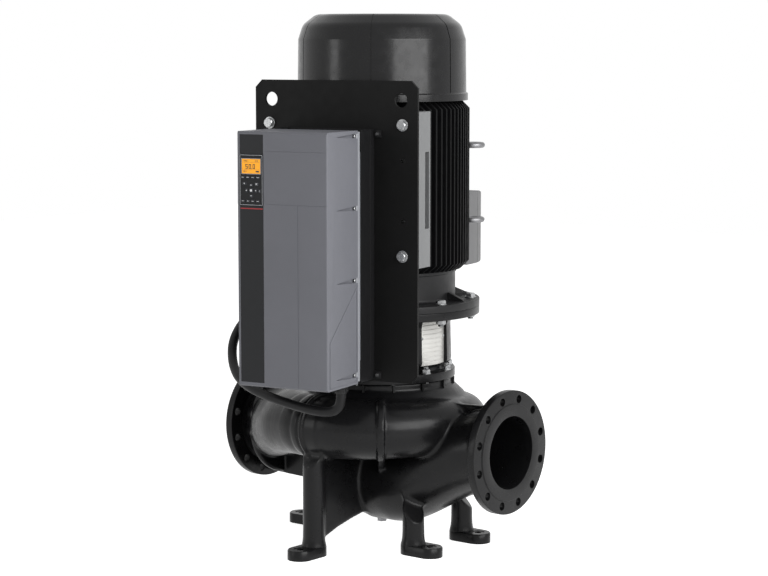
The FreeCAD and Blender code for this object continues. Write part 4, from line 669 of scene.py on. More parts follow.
FEET = {
    # foot: (x, y, way of its pad in degrees, top of its leg)
    "front": (0, -300, -90, 308), "left": (-246, 0, 180, 250),
    "right_front": (200, -112, 0, 148), "right_back": (200, 112, 0, 148),
}
LEG_RADIUS = 30
PAD_RADIUS = 35
PAD_HEIGHT = 28
PAD_REACH = 58

# Raised bands round the scroll: azimuth, how proud, width
BANDS = ((-52, 8, 20), (-93, 10, 10), (-97.5, 5, 22))
WEB_THICKNESS = 22
COLLAR_MIDDLE = -366
NECK_RIBS = 15


def casing_field(grid):
    route = np.array(discharge_points())
    core = grid.turned_form([(0, 176), (108, 176), (108, 250), (150, 272), (201, 298), (233, 330), (233, 420),
                             (206, 445), (199.5, 450), (199.5, 468.5), (0, 468.5)])
    outside = blend(grid.scroll(WALL), grid.bend(route, WALL), 6)
    outside = blend(outside, core, 10)
    outside = blend(outside, grid.suction(WALL), 11)
    for angle, proud, width in BANDS:
        outside = blend(outside, grid.band(angle, proud, width), 3)
    along, across = grid.beside(BANDS[0][0])
    fin = [(60, 184), (125, 184), (148, 222), (202, 264), (235, 300), (60, 300)]
    outside = blend(outside, plate_field(fin, along, grid.z, across, BANDS[0][2], 3.0), 4)
    for x, y, _, top in FEET.values():
        leg = np.hypot(grid.x - x, grid.y - y) - (LEG_RADIUS + 5 * np.exp(-np.maximum(grid.z - 28, 0) / 12))
        reach = hypot(x, y)
        slope = 0.0 if x < 0 else 1.1
        ceiling = top + 8 * slope - slope * ((grid.x * x + grid.y * y) / reach - reach + LEG_RADIUS)
        leg = np.maximum(leg, np.maximum((grid.z - ceiling) / hypot(1, slope), 4 - grid.z))
        outside = blend(outside, leg, 16)
    front_web = [(-300, 30), (-262, 44), (-210, 62), (-150, 76), (-60, 92), (-60, 236), (-300, 275)]
    left_web = [(-426, 141), (-266, 134), (-246, 60), (-186, 84), (-60, 110), (-60, 265), (-426, 235)]
    suction_web = [(235, 300), (426, 300), (426, 418), (235, 411)]
    outside = blend(outside, plate_field(front_web, grid.y, grid.z, grid.x, WEB_THICKNESS), 12)
    outside = blend(outside, plate_field(left_web, grid.x, grid.z, grid.y, WEB_THICKNESS), 12)
    outside = blend(outside, plate_field(suction_web, grid.x, grid.z, grid.y, WEB_THICKNESS), 8)
    for side in (-1, 1):
        flare = 10 * smooth_step((FLANGE_BACK + 2 - side * grid.x) / 26)
        hub = np.hypot(grid.y, grid.z - PORT_HEIGHT) - (116 + flare)
        hub = np.maximum(hub, np.maximum(392 - side * grid.x, side * grid.x - 426))
        outside = blend(outside, hub, 8)
    collar = np.hypot(grid.y, grid.z - PORT_HEIGHT) - 150
    collar = -blend(-collar, -(np.abs(grid.x - COLLAR_MIDDLE) - 8), 3)
    outside = blend(outside, collar, 4)
    flow = blend(grid.scroll(0), grid.bend(route, 0), 8)
    flow = blend(flow, grid.suction(0), 6)
    chamber = grid.turned_form([(0, 176), (92, 176), (92, 290), (176, 313), (188, 321), (188, 379),
                                (175, 392), (175, 490), (0, 490)])
    flow = blend(flow, chamber, 6)
    return hollowed(outside, flow, 2.0)


def port_flange(side):
    """A port flange with its raised face, drilled round."""
    profile = rounded([(PORT_BORE, FLANGE_BACK), (FLANGE_RADIUS, FLANGE_BACK), (FLANGE_RADIUS, PORT_FACE - 3),
                       (RAISED_FACE, PORT_FACE - 3), (RAISED_FACE - 1.5, PORT_FACE), (PORT_BORE, PORT_FACE)],
                      [0, 2.2, 2.2, 0.8, 0.8, 1.5], 4)
    ring = lathe(profile, 192)
    half_step = 180 / FLANGE_HOLES
    hole = disc(FLANGE_HOLE, FLANGE_BACK - 2, PORT_FACE + 2, 32).shifted(FLANGE_PITCH)
    angles = [half_step + 360 / FLANGE_HOLES * step for step in range(FLANGE_HOLES)]
    ring = cut(ring, around(hole, angles))
    aim = Matrix.Rotation(radians(90 * side), 3, "Y")
    return ring.turned(aim).shifted(z=PORT_HEIGHT)


def foot_pad(x, y, angle):
    """A long pad with its rim and bolt hole."""
    outline = []
    for start, middle in ((90, 0.0), (-90, PAD_REACH)):
        for step in range(25):
            turn = radians(start + 180 * step / 24)
            outline.append((middle + PAD_RADIUS * cos(turn), PAD_RADIUS * sin(turn)))
    inner = [(PAD_REACH / 2 + (u - PAD_REACH / 2) * 0.965, v * 0.94) for u, v in outline]
    pad = stacked([(outline, 0), (outline, PAD_HEIGHT - 3), (inner, PAD_HEIGHT)])
    hole = disc(9.5, -2, PAD_HEIGHT + 2, 36).shifted(PAD_REACH)
    seat = disc(18, PAD_HEIGHT - 1.5, PAD_HEIGHT + 2, 40).shifted(PAD_REACH)
    return cut(pad, hole, seat).turned(about_z(radians(angle))).shifted(x, y)


def make_casing():
    grid = Field(3.0)
    casting = skin(casing_field(grid), grid.low, grid.step)
    rib = box((196, -3, 447), (206.5, 3, 467)).turned(about_z(radians(6)))
    ribs = around(rib, [360 / NECK_RIBS * number for number in range(NECK_RIBS)])
    parts = [casting, ribs, port_flange(1), port_flange(-1)]
    parts += [foot_pad(x, y, angle) for x, y, angle, _ in FEET.values()]
    piece("pump_casing_skin", together(parts), "pump_black", "pump_casing", angle=40)


# Fasteners

def hexagon(across, low, high):
    """A hexagon across its flats, its corners chamfered at the top."""
    corner = across / sqrt(3)
    prism = slab(circle(corner, steps=6), low, high)
    cap = lathe([(0, low - 1), (corner + 1, low - 1), (corner + 1, high - 0.16 * across),
                 (across * 0.47, high), (0, high)], 48)
    return within(prism, cap)


def thread(radius, low, high, pitch=2.0):
    """A threaded end, as rings of the thread's pitch."""
    turns = max(1, round((high - low) / pitch))
    profile = [(0, low)]
    for turn in range(turns):
        start = low + (high - low) * turn / turns
        profile += [(radius, start), (radius * 0.88, start + (high - low) / turns * 0.55)]
    profile += [(radius * 0.9, high), (0, high)]
    return lathe(profile, 28)


def washer(radius, hole, low, high):
    return lathe(rounded([(hole, low), (radius, low), (radius, high), (hole, high)], [0, 0.4, 0.4, 0]), 40)


def pan_screw(radius, height):
    """A pan head with a cross recess, seated at zero."""
    head = lathe(rounded([(0, 0), (radius, 0), (radius, height * 0.55), (radius * 0.55, height), (0, height)],
                         [0, 0, radius * 0.3, radius * 0.4, 0], 4), 32)
    slot = box((-radius * 0.6, -radius * 0.12, height * 0.45), (radius * 0.6, radius * 0.12, height + 1))
    return cut(head, slot, slot.turned(about_z(pi / 2)))


def polar(radius, angle, height=0.0):
    return (radius * cos(radians(angle)), radius * sin(radians(angle)), height)


def on_circle(shape, radius, first, count, twist=0):
    """Copies on a circle round the shaft from a first azimuth, each turned by a twist more than the last."""
    return together(shape.turned(about_z(radians(twist * number)))
                    .shifted(*polar(radius, first + 360 / count * number)) for number in range(count))


def make_studs():
    low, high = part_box("head_studs")
    seat = STOOL_SEAT
    stud = hexagon(21, seat + 2, seat + 13) + washer(13.5, 7.5, seat, seat + 2)
    stud = stud + thread(7, seat + 12, high[2] / MM) + disc(7, low[2] / MM, seat + 12, 24)
    piece("head_studs_skin", on_circle(stud, 192, 18, 12, 7), "zinc", "head_studs")


def make_flange_bolts():
    top = MOTOR_FLANGE_TOP
    under = MOTOR_FLANGE_LOW
    bolt = washer(16, 8.5, top, top + 2.5) + hexagon(24, top + 2.5, top + 12.5)
    nut = aimed(hexagon(24, 0, 13), (0, 0, under), (0, 0, -1))
    bolt = bolt + nut + thread(8, under - 18, under - 12) + disc(8, under - 12, top + 3, 24)
    bolts = on_circle(bolt, MOTOR_PITCH, 22.5, 8, 11)
    head_piece("flange_bolts_skin", bolts, "zinc", "flange_bolts")


def make_plate_bolts():
    bolt = washer(16, 8.5, 0, 3) + hexagon(24, 3, 13)
    length = 14.9
    spacer = lathe(rounded([(8, 0), (16, 0), (16, length), (8, length)], [0, 0.8, 0.8, 0]), 40)
    parts = []
    for x, z in [(FOOT_SIDE * side, FRAME_LOW + rise) for side in (-1, 1) for rise in FOOT_RISES]:
        parts.append(aimed(bolt, (x, -PLATE_FRONT, z), FORWARD, radians(x + z)))
        parts.append(aimed(spacer, (x, -PLATE_BACK + length, z), FORWARD))
        parts.append(aimed(disc(8, 0, 50, 24), (x, -PLATE_BACK + 42, z), FORWARD))
    head_piece("plate_bolts_skin", together(parts), "zinc", "plate_bolts")


def make_cover_screws():
    parts = []
    for middle in (0, 180):
        for side in (-1, 1):
            angle = middle + (17 - 1.8) * side - 11.25
            parts.append(aimed(pan_screw(4.5, 3), polar(186, angle, 588.8), polar(1, angle)))
    for corner in range(4):
        angle = 45 + 90 * corner
        parts.append(aimed(pan_screw(6, 4), polar(240, angle, FRAME_TOP + 7), polar(1, angle)))
    for x in (-105, 105):
        for z in (BOX_LOW + 20, BOX_TOP - 20):
            parts.append(aimed(pan_screw(6, 4), (x, 399.5, z), (0, 1, 0), 0.6))
    head_piece("cover_screws_skin", together(parts), "zinc", "cover_screws")
    screws, centres = [], []
    for z in (CONVERTER_LOW + 12, CONVERTER_TOP - 12):
        for x in (-161, 130):
            at = (x, -PLATE_FRONT - 4, z)
            screws.append(aimed(pan_screw(6, 4.5), at, FORWARD, 0.4))
            screws.append(aimed(washer(9, 3.5, 0, 0.8), at, FORWARD))
            centres.append(aimed(disc(3.6, 0, 1.2, 20), at, FORWARD).shifted(y=-4.2))
    head_piece("ear_screws", together(screws), "gland_plastic")
    head_piece("ear_screw_centres", together(centres), "zinc")


# Stool and motor

def make_stool():
    wall = 195
    profile = [(150, NECK_TOP), (206.5, NECK_TOP), (206.5, STOOL_SEAT), (175, STOOL_SEAT), (175, 506.5),
               (196.4, 516.5), (193.5, 619.5), (200, 640.5), (207, MOTOR_FLANGE_LOW),
               (MOTOR_FLANGE, MOTOR_FLANGE_LOW), (MOTOR_FLANGE, STOOL_TOP), (225, STOOL_TOP), (225, 665),
               (179, 665), (179, 523.5), (159, 505.5), (159, 499.5), (150, STOOL_SEAT)]
    radii = [0, 1.5, 2, 6, 8, 6, 12, 10, 5, 1.8, 1.8, 0, 0, 0, 0, 0, 0, 0]
    shell = lathe(rounded(profile, radii, 4), 192)
    window = lathe([(184, 512), (wall + 30, 512), (wall + 30, 640), (184, 640)], 24, -17, 34)
    opening = lathe([(140, 516), (wall, 516), (wall, 636), (140, 636)], 24, -14, 28)
    holes = on_circle(disc(MOTOR_HOLE, 640, 680, 24), MOTOR_PITCH, 33.75, 8)
    vent = aimed(disc(5, 0, 90, 20), polar(120, 33, STOOL_SEAT + 7.6), polar(1, 33))
    shell = cut(shell, around(window, (0, 180)), around(opening, (0, 180)), holes, vent)
    piece("motor_stool_skin", shell, "pump_black", "motor_stool", bevel=0.8, segments=2)


def make_guards():
    """Two louvred sheet guards, their louvres pressed outwards."""
    low, top = 512.3, 639.7
    parts = [lathe(rounded([(184, low), (186, low), (186, top), (184, top)], 0.3, 2), 24, -16.8, 33.6)]
    for number in range(9):
        height = low + 10 + 12.5 * number
        hood = [(184.6, height + 4), (185.6, height + 4), (187.6, height + 1), (187.6, height),
                (186.9, height), (184.6, height + 3)]
        for start in (-13.6, 0.7):
            parts.append(lathe(hood, 14, start, 12.9))
    guard = together(parts)
    piece("coupling_guards_skin", around(guard, (0, 180)), "guard_ivory", "coupling_guards")


def make_drive_shield():
    outer = 206.5
    top = MOTOR_FLANGE_TOP
    profile = [(34, 691.5), (60, 665), (225, 665), (225, STOOL_TOP), (MOTOR_FLANGE, STOOL_TOP),
               (MOTOR_FLANGE, top), (outer, top), (outer, FRAME_LOW - 10), (outer + 3, FRAME_LOW - 9),
               (outer + 3, FRAME_LOW), (195.5, FRAME_LOW), (195.5, 705.5), (100, 699.5), (60, 699.5)]
    radii = [0, 0, 0, 0, 1.5, 2.5, 9, 2, 1, 1, 0, 0, 0, 0]
    shield = lathe(rounded(profile, radii, 4), 192)
    shield = cut(shield, on_circle(disc(MOTOR_HOLE, 660, 695, 24), MOTOR_PITCH, 22.5, 8))
    rib = slab([(outer - 4, top - 1), (outer + 52, top - 1), (outer + 46, top + 5), (outer + 12, top + 20),
                (outer - 4, top + 24)], -6, 6, "y")
    ribs = around(rib, [45 * number for number in range(8)])
    head_piece("drive_end_shield_skin", shield, "motor_grey", "drive_end_shield", bevel=0.6, segments=2)
    head_piece("shield_ribs", ribs, "motor_grey", bevel=1.6)


def fins(levels, across, thick, reach, pitch, count, axis):
    """Fins between two levels on both sides of the frame, pointing out along one axis."""
    parts = []
    for side in (-1, 1):
        for number in range(count):
            middle = pitch * (number - (count - 1) / 2)
            near, far = sorted((side * (reach - across), side * reach))
            side_on = (middle - thick / 2, middle + thick / 2)
            wide, deep = ((near, far), side_on) if axis == "x" else (side_on, (near, far))
            parts.append(box((wide[0], deep[0], levels[0]), (wide[1], deep[1], levels[1])))
    return together(parts)


def make_motor_frame():
    reach = 245
    levels = (FRAME_LOW, FRAME_TOP)
    stack = fins(levels, 135, 4.5, reach, 17.5, 19, "x") + fins(levels, 75, 4.5, reach, 17.5, 11, "y")
    envelope = lathe([(0, FRAME_LOW), (reach - 22, FRAME_LOW), (reach, FRAME_LOW + 22),
                      (reach, FRAME_TOP - 22), (reach - 22, FRAME_TOP), (0, FRAME_TOP)], 192)
    stack = within(stack, envelope)
    bosses, pockets = [], []
    for rise in EYEBOLT_RISES:
        at = polar(169.7, EYEBOLT_ANGLE, FRAME_LOW + rise)
        pockets.append(aimed(disc(25, 0, 110, 32), at, polar(1, EYEBOLT_ANGLE)))
        bosses.append(aimed(disc(20, 0, 62.3, 32), at, polar(1, EYEBOLT_ANGLE)))
    stack = cut(stack, *pockets)
    # The fins take the darker black: painted shade between them.
    head_piece("frame_fins", stack, "fin_black_and_painted_shade", bevel=0.9, segments=2)
    tube = lathe([(187, FRAME_LOW), (200, FRAME_LOW), (200, FRAME_TOP), (187, FRAME_TOP)], 160)
    neck = slab(rounded(rectangle(-95, BOX_LOW + 50, 95, BOX_TOP - 30), 10), 150, 298, "y")
    webs = [box((153, -182, 814), (199, -110, 1209)), box((-199, -182, 814), (-153, -110, 1209))]
    frame_shape = together([tube, neck] + bosses + webs)
    head_piece("motor_frame_skin", frame_shape, "motor_grey", "motor_frame", bevel=1.2)
    rails, shades = [], []
    for side in (-1, 1):
        left, right = sorted((165 * side, 241 * side))
        rail = slab(rounded(rectangle(left, -250, right, -180), 5), 803, 1220)
        near, far = sorted((229 * side, 245 * side))
        rails.append(cut(rail, box((near, -213, 907), (far, -190, 1112))))
        # A dark sheet at the back of each rail slot: painted shade in the slot.
        near, far = sorted((228.6 * side, 230.6 * side))
        shades.append(box((near, -213.4, 906.6), (far, -189.6, 1112.4)))
    # The rails' light grey is a painted reflection of the right-hand light.
    head_piece("frame_rails", together(rails), "rail_painted_reflection_grey", bevel=1.2)
    head_piece("rail_slot_painted_shade", together(shades), "fin_black_and_painted_shade")


def make_eyebolts():
    ring = lathe(circle(8, (27, 0), 24), 56)
    collar = lathe(rounded([(0, 0), (17, 0), (17, 5), (11, 8), (0, 8)], [0, 1, 3, 3, 0]), 40)
    parts = []
    for rise in EYEBOLT_RISES:
        z = FRAME_LOW + rise
        parts.append(ring.shifted(*polar(270, EYEBOLT_ANGLE, z)))
        parts.append(aimed(collar, polar(232, EYEBOLT_ANGLE, z), polar(1, EYEBOLT_ANGLE)))
    head_piece("eyebolts_skin", together(parts), "dark_steel", "eyebolts")


def make_fan_cover():
    rim = [(240, FRAME_TOP), (240, FRAME_TOP + 19), (235.5, FRAME_TOP + 22), (233.5, 1411), (220.5, 1451),
           (183.5, COVER_TOP), (0, COVER_TOP)]
    radii = [0, 2.0, 2.0, 12, 34, 34, 0]
    outside = rounded(rim + [(0, 1200), (240, 1200)], radii + [0, 0], 8)[:-2]
    inside = rounded([(237, FRAME_TOP), (237, FRAME_TOP + 18), (232.5, FRAME_TOP + 21), (230.5, 1411),
                      (218, 1449), (182, COVER_TOP - 3), (0, COVER_TOP - 3), (0, 1200), (237, 1200)],
                     radii + [0, 0], 8)[:-2]
    shell = lathe(outside + inside[::-1], 224)
    first = box((48, -3.5, COVER_TOP - 20), (110, 3.5, COVER_TOP + 10))
    second = box((118, -3.5, COVER_TOP - 20), (162, 3.5, COVER_TOP + 10)).turned(about_z(radians(7.5)))
    slots = around(first + second, [15 * number for number in range(24)])
    line = rounded([(235.5, FRAME_TOP + 23), (233.5, 1411), (220.5, 1451), (183.5, COVER_TOP),
                    (176, COVER_TOP), (176, FRAME_TOP + 23)], [0, 12, 34, 34, 0, 0], 8)[:-2]
    groove, lip = [], []
    for radius, z in line:
        out = Vector((radius - 170, z - 1400)).normalized() if z > 1400 else Vector((1, 0))
        groove.append((radius - 2.2 * out.x, z - 2.2 * out.y))
        lip.append((radius + 3 * out.x, z + 3 * out.y))
    seam = lathe(groove + lip[::-1], 1, -0.4, 0.8)
    shell = cut(shell, slots, around(seam, [-70 + 60 * number for number in range(6)]))
    head_piece("fan_cover_skin", shell, "fan_cover_gloss", "fan_cover", bevel=0.5, segments=2, angle=30)


def inset(outline, amount, centre):
    """An outline drawn in towards a centre by an amount at its far sides."""
    wide = max(abs(u - centre[0]) for u, _ in outline)
    high = max(abs(v - centre[1]) for _, v in outline)
    return [(centre[0] + (u - centre[0]) * (1 - amount / wide),
             centre[1] + (v - centre[1]) * (1 - amount / high)) for u, v in outline]


def make_terminal_box():
    outline = rounded(rectangle(-125, BOX_LOW, 125, BOX_TOP), 6)
    centre = (0, (BOX_LOW + BOX_TOP) / 2)
    base = stacked([(inset(outline, 3, centre), 298), (outline, 306), (outline, 368.6)], "y")
    seal = stacked([(inset(outline, 1.2, centre), 368), (inset(outline, 1.2, centre), 371)], "y")
    # The box and its lid take the light grey: a painted reflection of the right-hand light.
    head_piece("terminal_box_skin", base, "box_grey", "terminal_box", bevel=0.8)
    head_piece("box_seal", seal, "seal_rubber")
    lid = stacked([(outline, 370.4), (inset(outline, 0.3, centre), 376), (inset(outline, 1.2, centre), 391),
                   (inset(outline, 2.6, centre), 397.6), (inset(outline, 5, centre), 400)], "y")
    dish = stacked([(inset(outline, 34, centre), 401), (inset(outline, 36, centre), 398.6)], "y")
    lid = cut(lid, dish)
    head_piece("terminal_box_lid_skin", lid, "box_grey", "terminal_box_lid", bevel=1.0)


# Plate and converter

def make_plate():
    cut_corner = 20
    left, right, low, top = -247.5, 247.5, 495, 1302
    outline = [(left + cut_corner, low), (right - cut_corner, low), (right, low + cut_corner),
               (right, top - cut_corner), (right - cut_corner, top), (left + cut_corner, top),
               (left, top - cut_corner), (left, low + cut_corner)]
    plate = slab(outline, -PLATE_FRONT, -PLATE_BACK, "y")
    tools = [box((-90, -280, RELIEF_LOW), (90, -260, RELIEF_TOP))]
    places = [(19, 198, 1250), (6, 204, 929), (6, 204, 1091)]
    places += [(8, FOOT_SIDE, FRAME_LOW + rise) for rise in FOOT_RISES]
    for side in (-1, 1):
        tools += [aimed(disc(radius, 0, 20, 56), (x * side, -260, z), FORWARD) for radius, x, z in places]
    plate = cut(plate, *tools)
    head_piece("mounting_plate_skin", plate, "plate_black", "mounting_plate", bevel=0.9)


def make_channel():
    left, right = CONVERTER_LEFT + 1, CONVERTER_RIGHT - 1
    low, top = CONVERTER_LOW, CONVERTER_TOP
    trough = box((left, -CHANNEL_FRONT, low), (right, -PLATE_FRONT, top))
    hollow = box((left + 2.5, -CHANNEL_FRONT - 1, low - 1), (right - 2.5, -PLATE_FRONT - 2.5, top + 1))
    relief = box((-60, -PLATE_FRONT - 4, RELIEF_LOW), (60, -PLATE_FRONT + 4, RELIEF_TOP))
    fold = [box((x - 0.9, -297, low - 1), (x + 0.9, -295.4, top + 1)) for x in (left, right)]
    trough = cut(trough, hollow, relief, *fold)
    ears = []
    for z in (low + 2, top - 22):
        for x in (left - 22, right - 1):
            ears.append(box((x, -PLATE_FRONT - 4, z), (x + 23, -PLATE_FRONT, z + 20)))
    channel = together([trough] + ears)
    head_piece("converter_channel_skin", channel, "channel_black", "converter_channel", bevel=0.7,
               segments=2)


def make_base_frame():
    base = slab(rounded(rectangle(-146, -BASE_FRONT, 115, -CHANNEL_FRONT), 2.5), 505, 1169)
    head_piece("converter_base_skin", base, "converter_grey", "converter_base", bevel=1.0)


def on_both_sides(outline, inside, outside):
    """A flat outline pushed through both side walls of the converter's cover."""
    return [slab(outline, CONVERTER_LEFT - outside, CONVERTER_LEFT + inside, "x"),
            slab(outline, CONVERTER_RIGHT - inside, CONVERTER_RIGHT + outside, "x")]


def make_cover():
    left, right, low, top = CONVERTER_LEFT, CONVERTER_RIGHT, CONVERTER_LOW, CONVERTER_TOP
    front, back = -CONVERTER_FRONT, -BASE_FRONT
    screw_heights = (1159, 969, 778, 525)
    outline = rounded([(left, back), (left, front), (right, front), (right, back)], [0, 4, 4, 0], 6)
    shell = stacked([([(u, max(v, front + 4)) for u, v in outline], low), (outline, low + 4),
                     (outline, top - 5), ([(u, max(v, front + 5)) for u, v in outline], top)])
    tools = [box((STRIP_LEFT, front - 1, STRIP_LOW), (STRIP_LEFT + STRIP_WIDTH, front + 3, STRIP_TOP)),
             box((STRIP_LEFT, front - 1, KEYPAD_LOW), (STRIP_LEFT + STRIP_WIDTH, front + 7, KEYPAD_TOP))]
    for z in screw_heights:
        wedge = [(front + 54, z - 0.8), (back + 1, z - 7), (back + 1, z + 7), (front + 54, z + 0.8)]
        tools += on_both_sides(wedge, 8, 1)
    step = [(back - 5, 761), (front + 14, 627), (front + 14, 507), (back - 5, 507)]
    tools += on_both_sides(step, 1.6, 1)
    groove_left = STRIP_LEFT + STRIP_WIDTH + 6
    for z in (1122, 984):
        tools.append(box((groove_left, front - 1, z - 0.7), (right + 1, front + 0.7, z + 0.7)))
    tools.append(box((31.3, front - 1, low - 1), (32.7, front + 0.7, 984)))
    shell = cut(shell, *tools)
    head_piece("converter_cover_skin", shell, "converter_cover_grey", "converter_cover", bevel=0.8,
               segments=3)
    ridge = [(back - 3, 764.5), (front + 11.5, 628.5), (front + 11.5, 507), (front + 16, 507),
             (front + 16, 626.6), (back - 3, 757.5)]
    beads = together(on_both_sides(ridge, 0.6, 1.9))
    head_piece("cover_ridges", beads, "converter_cover_grey", bevel=0.5, segments=2)
    screws = []
    screw = pan_screw(4.6, 3) + disc(3, 0, 7, 20).shifted(z=-5.8)
    for z in screw_heights:
        screws.append(aimed(screw, (right - 3.2, front + 154, z), (1, 0, 0)))
        screws.append(aimed(screw, (left + 3.2, front + 154, z), (-1, 0, 0)))
    for x in (-115, -45, 104):
        screws.append(aimed(pan_screw(3.4, 2), (x, front + 12, low + 0.5), (0, 0, -1)))
    head_piece("cover_small_screws", together(screws), "zinc")


def make_strip():
    front = -CONVERTER_FRONT
    left, right = STRIP_LEFT + 0.4, STRIP_LEFT + STRIP_WIDTH - 0.4
    parts = [box((left, front, STRIP_LOW + 0.4), (right, front + 3, KEYPAD_LOW - 0.4)),
             box((left, front, KEYPAD_TOP + 0.4), (right, front + 3, STRIP_TOP - 0.4))]
    head_piece("control_strip_skin", together(parts), "strip_black", "control_strip", bevel=0.5)
    stripe = box((left + 1.5, front - 0.15, 970), (right - 1.5, front + 1, 972.6))
    head_piece("strip_stripe", stripe, "stripe_red")


KEY_SIZES = {
    # name: (from the strip's left edge, up from the keypad's foot, width, height)
    "key_status": (11, 74, 11, 6), "key_quick_menu": (26, 74, 11, 6),
    "key_main_menu": (41, 74, 11, 6), "key_alarm_log": (57, 74, 11, 6),
    "key_back": (15.5, 58, 12, 8), "key_cancel": (52.5, 57, 12, 8), "key_info": (62, 39, 9, 9),
    "key_up": (36, 54, 11, 7), "key_down": (36, 26, 11, 7),
    "key_left": (22, 40, 7, 11), "key_right": (50, 40, 7, 11), "key_ok": (36, 40, 12, 12),
    "key_hand_on": (11, 12, 11, 7), "key_off": (26, 12, 11, 7),
    "key_auto_on": (41, 12, 11, 7), "key_reset": (56, 12, 11, 7),
}
# The display's area: left, low, right, top
DISPLAY = (STRIP_LEFT + 7.5, KEYPAD_TOP - 50, STRIP_LEFT + 63.5, KEYPAD_TOP - 12)


def key_middle(name):
    x, z, _, _ = KEY_SIZES[name]
    return STRIP_LEFT + x, KEYPAD_LOW + z


def key_outline(name, room, radius):
    """A key's outline on the front, with some room round it."""
    x, z = key_middle(name)
    wide, high = (size / 2 + room for size in KEY_SIZES[name][2:])
    return rounded(rectangle(x - wide, z - high, x + wide, z + high), radius, 4)


def grown(area, amount):
    """The rectangle of an area (left, low, right, top) that is grown on all sides."""
    left, low, right, top = area
    return rectangle(left - amount, low - amount, right + amount, top + amount)


def make_keypad():
    front = -KEYPAD_FRONT
    area = (STRIP_LEFT, KEYPAD_LOW, STRIP_LEFT + STRIP_WIDTH, KEYPAD_TOP)
    panel = slab(rounded(grown(area, -0.3), 3), front, front + 9, "y")
    tools = [slab(rectangle(*DISPLAY), front - 1, front + 2, "y")]
    tools += [slab(key_outline(name, 0.35, 1.6), front - 1, front + 3.6, "y") for name in KEY_SIZES]
    panel = cut(panel, *tools)
    head_piece("keypad_module_skin", panel, "keypad_dark", "keypad_module", bevel=0.35, segments=2)
    line = cut(slab(rounded(grown(area, -1.5), 2.4), front - 0.12, front + 0.4, "y"),
               slab(rounded(grown(area, -2.4), 1.8), front - 1, front + 1, "y"))
    head_piece("keypad_frame_line", line, "trim_silver")
    edge = cut(slab(grown(DISPLAY, 1.4), front - 0.1, front + 0.4, "y"),
               slab(grown(DISPLAY, 0.6), front - 1, front + 1, "y"))
    head_piece("display_frame_line", edge, "trim_silver")


SEGMENTS = {"0": "abcdef", "1": "bc", "2": "abged", "3": "abgcd", "4": "fgbc", "5": "afgcd", "6": "afgedc",
            "7": "abc", "8": "abcdefg", "9": "abcdfg"}
SEGMENT_PLACES = {
    # segment: (right half, level, lies across, stands upright)
    "a": (0, 2, 1, 0), "b": (1, 1, 0, 1), "c": (1, 0, 0, 1), "d": (0, 0, 1, 0),
    "e": (0, 0, 0, 1), "f": (0, 1, 0, 1), "g": (0, 1, 1, 0),
}


def digits(text, left, low, width, height, stroke, front):
    """A number in seven-segment figures on the display."""
    parts = []
    x = left
    for figure in text:
        if figure == ".":
            parts.append(box((x - stroke, front, low), (x, front + 0.2, low + stroke)))
            x += stroke
            continue
        for segment in SEGMENTS[figure]:
            right, up, across, upright = SEGMENT_PLACES[segment]
            u = x + right * (width - stroke)
            v = low + up * (height - stroke) / 2
            parts.append(box((u, front, v), (u + (width if across else stroke), front + 0.2,
                                             v + ((height + stroke) / 2 if upright else stroke))))
        x += width + stroke * 1.6
    return together(parts)


def make_display():
    front = -KEYPAD_FRONT
    pane = slab(rectangle(*DISPLAY), front + 0.3, front + 2, "y")
    head_piece("display_window_skin", pane, "display_glass", "display_window", bevel=0.2, segments=1)
    left, low, right, top = DISPLAY
    face = front + 0.2
    small = (2.6, 4.4, 0.6, face)
    marks = [digits("50.0", left + 11, low + 12.5, 7, 12, 1.9, face),
             digits("1450", left + 4, top - 7, *small),
             digits("12.8", right - 18, top - 7, *small),
             digits("28.4", left + 4, low + 3.5, *small),
             box((left + 2.5, face, top - 9), (right - 2.5, face + 0.2, top - 8.5)),
             box((left + 2.5, face, low + 10), (right - 2.5, face + 0.2, low + 10.5)),
             box((right - 14, face, low + 3.5), (right - 4, face + 0.2, low + 7.5))]
    head_piece("display_marks", together(marks), "mark_dark")


def mark_shapes(name):
    """Flat marks on one key, as outlines in the front's plane."""
    x, z = key_middle(name)
    arrow = {"key_up": 90, "key_down": 270, "key_left": 180, "key_right": 0, "key_back": 180}
    if name in arrow:
        way = radians(arrow[name])
        return [[(x + 2.2 * cos(way + turn), z + 2.2 * sin(way + turn)) for turn in (0, 2.2, -2.2)]]
    if name == "key_cancel":
        corners = rectangle(-1, -1, 1, 1)
        return [[(x + 2.4 * u - 0.4 * v * slope, z + 2.4 * u * slope + 0.4 * v) for u, v in corners]
                for slope in (-1, 1)]
    if name == "key_info":
        return [rectangle(x - 0.5, z - 2.4, x + 0.5, z + 0.7), rectangle(x - 0.5, z + 1.4, x + 0.5, z + 2.4)]
    if name == "key_ok":
        return [circle(3.4, (x, z), 28)]
    wide = {"key_status": 2.6, "key_quick_menu": 3.4, "key_main_menu": 3.2, "key_alarm_log": 3.6,
            "key_hand_on": 3.0, "key_off": 2.2, "key_auto_on": 3.0, "key_reset": 3.4}[name]
    return [rectangle(x - wide, z - 0.55, x + wide, z + 0.55)]


def make_keys():
    front = -KEYPAD_FRONT
    for name in KEY_SIZES:
        outline = key_outline(name, 0, 1.3)
        centre = key_middle(name)
        cap = stacked([(inset(outline, 1.4, centre), front - 1.6),
                       (inset(outline, 0.5, centre), front - 1.45),
                       (outline, front - 1.0), (outline, front + 2.4)], "y")
        head_piece(name + "_skin", cap, "key_grey", name, body=name, angle=50)
        marks = together(slab(mark, front - 1.75, front - 1.3, "y") for mark in mark_shapes(name))
        head_piece(name + "_mark", marks, "mark_white", body=name)


# Glands and cable

CABLE_RADIUS = 13
CABLE_ROUTE = [
    (85, -400, 477), (85, -400, 451), (70, -400, 430), (43, -400, 422), (0, -399, 424),
    (-60, -397, 433), (-130, -390, 446), (-205, -372, 462), (-272, -338, 484), (-324, -284, 522),
    (-350, -236, 575), (-350, -160, 630), (-338, -60, 652), (-322, 45, 655), (-298, 140, 650),
    (-262, 225, 645), (-212, 296, 645), (-150, 338, 653), (-95, 345, 676), (-70, 345, 706),
    (-70, 345, 732),
]


